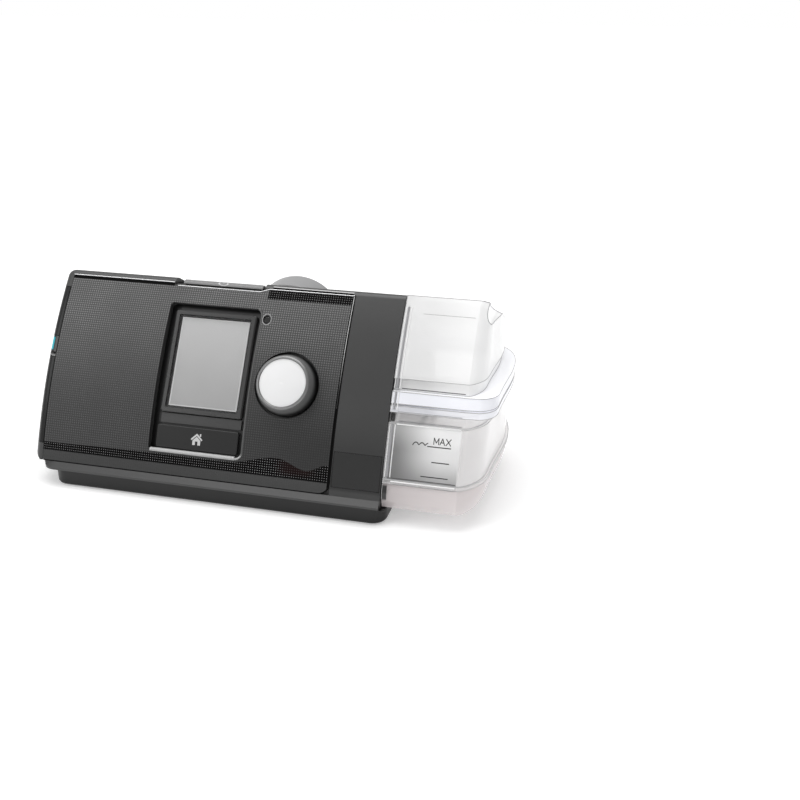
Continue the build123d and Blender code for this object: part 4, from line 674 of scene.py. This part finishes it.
# Painted highlight: the side strip fades from bright metal at its top to dark grey lower down.
side_highlight_metal.set(Base_Color=side_highlight_metal.blend(z.step(58 * MM, 92 * MM), grey(0.05), grey(0.8)))
seam_black = Finish("seam_black", Specular_IOR_Level=0.1)
seam_black.set(Base_Color=seam_black.blend(seam_black.noise(200), grey(0.001), grey(0.004)), Roughness=0.7)
TOP, LOW = FACE_TOP, 11.15
LEFT, RIGHT = -126.8, 44.75
NOTCH_LEFT, NOTCH_RIGHT, NOTCH = -62.4, -8.2, 103.9
CORNER_ROUND = 6.2
CHIN = 7.3
top_left = [on_face(x, TOP, -0.1) for x in (LEFT, NOTCH_LEFT - 0.6)]
rod("top_highlight_left", top_left, 0.32, top_highlight_metal, "machine")
notch_path = [
    (NOTCH_LEFT + 2.0, NOTCH - 0.1),
    (NOTCH_RIGHT - 2.6, NOTCH - 0.1),
    (NOTCH_RIGHT - 1.4, NOTCH + 0.2),
    (NOTCH_RIGHT + 1.8, TOP - 0.3),
    (NOTCH_RIGHT + 3.0, TOP),
    (RIGHT - 0.4, TOP),
]
notch_points = [on_face(x, z, -0.05) for x, z in notch_path]
rod("notch_highlight", notch_points, 0.28, top_highlight_metal, "machine")
corner = arc((RIGHT - CORNER_ROUND, LOW + CORNER_ROUND), CORNER_ROUND, 0, -90)
side_path = [(RIGHT, TOP - number * 4.0) for number in range(1, 22)] + corner
gap_path = side_path + [(RIGHT - 14, LOW), (LEFT + 0.5, LOW)]
gap_points = [on_face(x, z, 0.1) for x, z in gap_path]
rod("side_gap", gap_points, 0.36, seam_black, "machine")
highlight_path = [(RIGHT, TOP - 0.6)] + side_path[:13]
highlight_points = [on_face(x - 0.6, z, 0.0) for x, z in highlight_path]
rod("side_highlight", highlight_points, 0.28, side_highlight_metal, "machine")
chin_points = [on_face(x, CHIN, 0.05) for x in (-118.5, 72.2)]
rod("chin_gap", chin_points, 0.26, seam_black, "machine")

# %% [markdown]
# The recess round the screen has a soft rim at its right and a bright sill under the home key,
# both painted highlights where its bevels catch the light.

# %% Painted highlights round the screen's recess
recess_highlight = moulded("recess_highlight", 0.1, 0.3, 0.15)
x, y, z = recess_highlight.place()
# Painted highlight: light grey on the sill low down, darker grey on the rim.
recess_highlight.set(Base_Color=recess_highlight.blend(z.above(25.5 * MM, 1.0 * MM), grey(0.5), recess_highlight.base))
RECESS_LEFT, RECESS_RIGHT, RECESS_LOW, RECESS_TOP = -62.2, -6.6, 23.2, 96.0
RECESS_ROUND = 4.0
turn_x = RECESS_RIGHT - RECESS_ROUND
right_side = arc((turn_x, RECESS_TOP - RECESS_ROUND), RECESS_ROUND, 70, 0)
right_side += [(RECESS_RIGHT, RECESS_TOP - RECESS_ROUND - step * 3.3) for step in range(1, 20)]
right_side += arc((turn_x, RECESS_LOW + RECESS_ROUND), RECESS_ROUND, 0, -90)
bottom = [(turn_x, RECESS_LOW), (RECESS_LEFT + 1.2, RECESS_LOW)]
rod("recess_rim", [on_face(x, z, 0.25) for x, z in right_side], 0.6, recess_highlight, "machine")
rod("recess_sill", [on_face(x, z, 0.7) for x, z in bottom], 1.25, recess_highlight, "machine")

# %% Painted highlight round the screen's window, and the light ring of the light sensor
window_highlight = moulded("window_highlight", 0.22, 0.25, 0.1)
ring_plastic = moulded("ring_plastic", 0.42, 0.25, 0.1)


def on_panel(x, up, out):
    """A point by x, height up the screen's tilted plane and distance out of it."""
    rise = Vector((0, PANEL_UP[0], PANEL_UP[1])) * up * MM
    return at(x, 0, 0) + Vector((0, *PANEL_AT)) + rise + PANEL_OUT * out * MM


LENS_X, LENS_UP, LENS_OUT = (-55.9, -12.2), (-22.4, 31.6), -2.62
lens_corners = [(0, 0), (1, 0), (1, 1), (0, 1)]
lens_loop = [on_panel(LENS_X[u], LENS_UP[v], LENS_OUT) for u, v in lens_corners]
# Painted highlight: a light strip round the screen's window.
rod("window_edge", lens_loop, 0.16, window_highlight, "machine", closed=True)
SENSOR_AT = (-3.4, 91.4)
sensor_loop = [on_face(x, z, 0.0) for x, z in arc(SENSOR_AT, 2.5, 0, 342, 20)]
rod("sensor_edge", sensor_loop, 0.24, ring_plastic, "machine", closed=True)

# %% [markdown]
# Marks are flat outlines with a hair of thickness, so that they catch no light at their sides
# but still are solid meshes. The outline is drawn in two dimensions and then laid on its face.


# %% Flat marks
def mark(name, outlines, lay, thickness, finish, body):
    """Flat shapes from outlines, laid on a face by a function of x, y and height."""
    build = bmesh.new()
    for outline in outlines:
        low = [build.verts.new(lay(x, y, 0.0)) for x, y in outline]
        high = [build.verts.new(lay(x, y, thickness)) for x, y in outline]
        count = len(outline)
        build.faces.new(high)
        build.faces.new(list(reversed(low)))
        for this in range(count):
            after = (this + 1) % count
            build.faces.new((low[this], low[after], high[after], high[this]))
    bmesh.ops.recalc_face_normals(build, faces=build.faces)
    mesh = bpy.data.meshes.new(name)
    build.to_mesh(mesh)
    build.free()
    return link(name, mesh, finish, body)


def bar(x_low, x_high, y_low, y_high):
    """A rectangle as an outline."""
    return [(x_low, y_low), (x_high, y_low), (x_high, y_high), (x_low, y_high)]


def stroke(points, width):
    """Short bars of one width along a path, as outlines."""
    shapes = []
    for (x0, y0), (x1, y1) in zip(points, points[1:]):
        length = sqrt((x1 - x0) ** 2 + (y1 - y0) ** 2)
        along = ((x1 - x0) / length * width / 2, (y1 - y0) / length * width / 2)
        across = (-along[1], along[0])
        shapes.append([
            (x0 - along[0] * 0.5 - across[0], y0 - along[1] * 0.5 - across[1]),
            (x1 + along[0] * 0.5 - across[0], y1 + along[1] * 0.5 - across[1]),
            (x1 + along[0] * 0.5 + across[0], y1 + along[1] * 0.5 + across[1]),
            (x0 - along[0] * 0.5 + across[0], y0 - along[1] * 0.5 + across[1]),
        ])
    return shapes


mark_white = moulded("mark_white", 0.62, 0.5, 0.1)
mark_black = moulded("mark_black", 0.012, 0.5, 0.1)
HOME_AT = at(-34.05, -63.2296, 31.0)
HOME_OUT = Vector((0, -0.909721, 0.415221))
HOME_UP = Vector((0, 0.415221, 0.909721))
HOME_FACE = -0.9


def on_home(x, y, height):
    """A point on the home key's face."""
    return HOME_AT + (Vector((x, 0, 0)) + HOME_UP * y + HOME_OUT * (HOME_FACE + height)) * MM


house = [
    [(-3.5, -0.1), (0, 3.2), (3.5, -0.1), (2.9, -0.75), (0, 1.95), (-2.9, -0.75)],
    [(-2.35, -0.75), (0, 1.4), (2.35, -0.75), (2.35, -3.3), (0.75, -3.3), (0.75, -1.2), (-0.75, -1.2),
     (-0.75, -3.3), (-2.35, -3.3)],
    bar(1.7, 2.5, 1.6, 3.1),
]
mark("house_symbol", house, on_home, 0.05, mark_white, "home_key")

# %% [markdown]
# The start key is a long bar with a rounded upper edge. A light strip along its crest is a
# painted highlight. Its symbol is drawn flat and then laid round that edge, high enough to clear
# the front panel when the key is pressed.

# %% Painted highlight and power symbol on the start key
KEY_X = (-57.4, -10.6)
KEY_Y, KEY_Z, KEY_ROUND = -11.877, 103.477, 2.6
KEY_MIDDLE = radians(80)
KEY_CREST = radians(88)
SYMBOL_X = -34.0


def on_key(x, turn, height):
    """A point on the start key's rounded upper edge, by the angle round the edge."""
    reach = KEY_ROUND + height
    return at(x, KEY_Y - reach * cos(turn), KEY_Z + reach * sin(turn))


def on_ridge(x, y, height):
    """A point of the power symbol, drawn flat and laid round the key's edge."""
    turn = KEY_MIDDLE + (y * 0.65 - 0.7) / KEY_ROUND
    return on_key(SYMBOL_X + x * 1.4, turn, height)


# Painted highlight: a light strip along the key's crest.
key_highlight = [on_key(x, KEY_CREST, 0.0) for x in KEY_X]
rod("key_highlight", key_highlight, 0.42, ring_plastic, "start_key")
power = stroke(arc((0, 0), 1.9, 125, 415, 15), 0.6) + [bar(-0.3, 0.3, 0.3, 2.7)]
mark("power_symbol", power, on_ridge, 0.05, mark_white, "start_key")

# %% [markdown]
# The tub's window carries three level lines, a small wave and the word for the highest level.

# %% Level marks on the tub's window
WINDOW_INSET = 0.8


def on_window(x, height, out):
    """A point on the tub's front window, by x and height."""
    return on_face(x, height, WINDOW_INSET - out)


def letter_strokes(letters, x_low, z_low, width, height, gap):
    """Strokes of simple capital letters side by side."""
    shapes = {
        "M": [(0, 0), (0, 1), (0.5, 0.25), (1, 1), (1, 0)],
        "A": [(0, 0), (0.5, 1), (1, 0)],
        "-": [(0.22, 0.36), (0.78, 0.36)],
        "X": [(0, 0), (1, 1)],
        "x": [(0, 1), (1, 0)],
    }
    paths = []
    for number, parts in enumerate(letters):
        left = x_low + number * (width + gap)
        for part in parts:
            paths.append([(left + u * width, z_low + v * height) for u, v in shapes[part]])
    return paths


waves = [
    (87.7 + number * 0.45, 39.9 + abs(sin(number * 0.45 * 0.95)) ** 0.7 * 1.5)
    for number in range(19)
]
level_paths = letter_strokes(["M", "A-", "Xx"], 98.9, 41.2, 2.55, 3.0, 0.7)
level_marks = []
for path in level_paths:
    level_marks += stroke(path, 0.42)
level_marks += stroke(waves, 0.45)
level_marks += [
    bar(95.6, 108.3, 39.7, 40.15),
    bar(98.7, 108.1, 32.4, 32.85),
    bar(93.6, 108.2, 25.2, 25.65),
]
mark("level_marks", level_marks, on_window, 0.04, mark_black, "tub")

# %% [markdown]
# ## Edges of the clear tub
# A clear moulding shows its shape by its edges: each catches light as a fine bright line, and
# each step in the wall refracts the dark inside as a fine dark one. The bright lines are made
# from the solid model itself. Its mesh is read, and the edges where two faces meet at a sharp
# outward angle are strung together into thin strips.


# %% String sharp edges together
def sharp_paths(node, turn, chosen):
    """Paths along edges that turn by at least an angle, inward where it is negative.

    The edges are kept in a dict and not a set, so that each run strings them in the same order.
    """
    build = bmesh.new()
    build.from_mesh(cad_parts[node].data)
    bmesh.ops.remove_doubles(build, verts=build.verts, dist=0.02 * MM)
    kept = {}
    for edge in build.edges:
        middle = ((edge.verts[0].co + edge.verts[1].co) / 2 - ORIGIN) / MM
        if len(edge.link_faces) == 2 and edge.calc_face_angle_signed(0) / turn > 1 and chosen(middle):
            kept[edge] = True
    ways = {}
    for edge in kept:
        for vert in edge.verts:
            ways.setdefault(vert, []).append(edge)
    paths = []
    for start in [vert for vert in ways if len(ways[vert]) != 2] + list(ways):
        for edge in ways[start]:
            path = [start]
            while edge in kept:
                del kept[edge]
                path.append(edge.other_vert(path[-1]))
                onward = [way for way in ways[path[-1]] if way in kept]
                edge = onward[0] if len(ways[path[-1]]) == 2 and onward else None
            if len(path) > 1:
                paths.append([vert.co.copy() for vert in path])
    build.free()
    long = [path for path in paths if sum((b - a).length for a, b in zip(path, path[1:])) > 2 * MM]
    print(node, "has", len(long), "sharp edge paths")
    return long


edge_light = moulded("edge_light", 0.48, 0.2, 0.02)
edge_white = moulded("edge_white", 0.95, 0.2, 0.02)
edge_dark = moulded("edge_dark", 0.08, 0.3, 0.02)
edge_mid = moulded("edge_mid", 0.34, 0.3, 0.02, (1, 1, 1.04))
SHARP = radians(38)
TUB_LEFT = 73.0
BASE_STEPS = (WINDOW_LOW, WINDOW_TOP, RIM_LOW)
LID_STEPS = (RIM_TOP, NECK_TOP)


def in_cove(spot):
    """True at the finger cove in the lid's outer top corner."""
    return spot.x > 115.5 and spot.z > 84 and spot.y < 14


def near(height, steps):
    """True within a quarter of a millimetre of a step."""
    return any(abs(height - step) < 0.25 for step in steps)


outward = sharp_paths("tub_base", SHARP, lambda spot: spot.x > TUB_LEFT and spot.z > 12)
rods("tub_edge_lines", outward, 0.18, edge_light, "tub")
outward = sharp_paths("tub_lid", SHARP, lambda spot: spot.x > TUB_LEFT and not in_cove(spot))
rods("lid_edge_lines", outward, 0.18, edge_light, "tub")
outward = sharp_paths("tub_lid", SHARP / 2, in_cove)
rods("cove_edge_lines", outward, 0.2, edge_mid, "tub")
inward = sharp_paths("tub_base", -SHARP, lambda spot: spot.x > TUB_LEFT and near(spot.z, BASE_STEPS))
rods("tub_step_lines", inward, 0.16, edge_mid, "tub")
inward = sharp_paths("tub_lid", -SHARP, lambda spot: spot.x > TUB_LEFT and near(spot.z, LID_STEPS))
rods("lid_step_lines", inward, 0.16, edge_mid, "tub")


# %% [markdown]
# The front of the tub shows its steps more strongly, and at its left end the walls one behind
# another make an upright post of light and dark lines.

# %% Stronger lines across the tub's front and up its left end
def front_line(name, height, inset, finish, radius=0.2, x_low=78.0, x_high=112.5):
    """A level line across the tub's front, on the step at a height."""
    points = [on_face(x, height, inset) for x in (x_low, x_high)]
    return rod(name, points, radius, finish, "tub")


front_line("neck_line", 64.9, 2.15, edge_dark)
front_line("groove_line", 49.7, 2.3, edge_mid)
front_line("window_top_line", 48.8, 0.75, edge_white, 0.3)
front_line("rim_line", 54.9, 0.2, edge_mid)
front_line("lid_inner_line", 99.7, 0.35, edge_light, 0.16, 84, 112.5)
front_line("lip_line", 23.0, 0.8, edge_dark, 0.22)
front_line("lip_light", 21.6, 0.1, edge_white, 0.4)
front_line("foot_line", 20.0, 0.9, edge_mid, 0.3)


def post_line(name, x, low, high, inset, finish, radius):
    """An upright line on the tub's left end, between two heights."""
    heights = [low + (high - low) * number / 8 for number in range(9)]
    points = [on_face(x, height, inset) for height in heights]
    return rod(name, points, radius, finish, "tub")


POSTS = (
    ("lid", 65.5, 102.0, 0.35),
    ("rim", 55.5, 63.5, 0.15),
    ("base", 23.2, 48.4, 0.85),
)
for part, low, high, inset in POSTS:
    post_line("post_light_" + part, 74.3, low, high, inset, edge_white, 0.24)
    post_line("post_shade_" + part, 75.6, low, high, inset + 0.5, edge_mid, 0.9)
    post_line("post_inner_" + part, 77.2, low, high, inset, edge_white, 0.32)
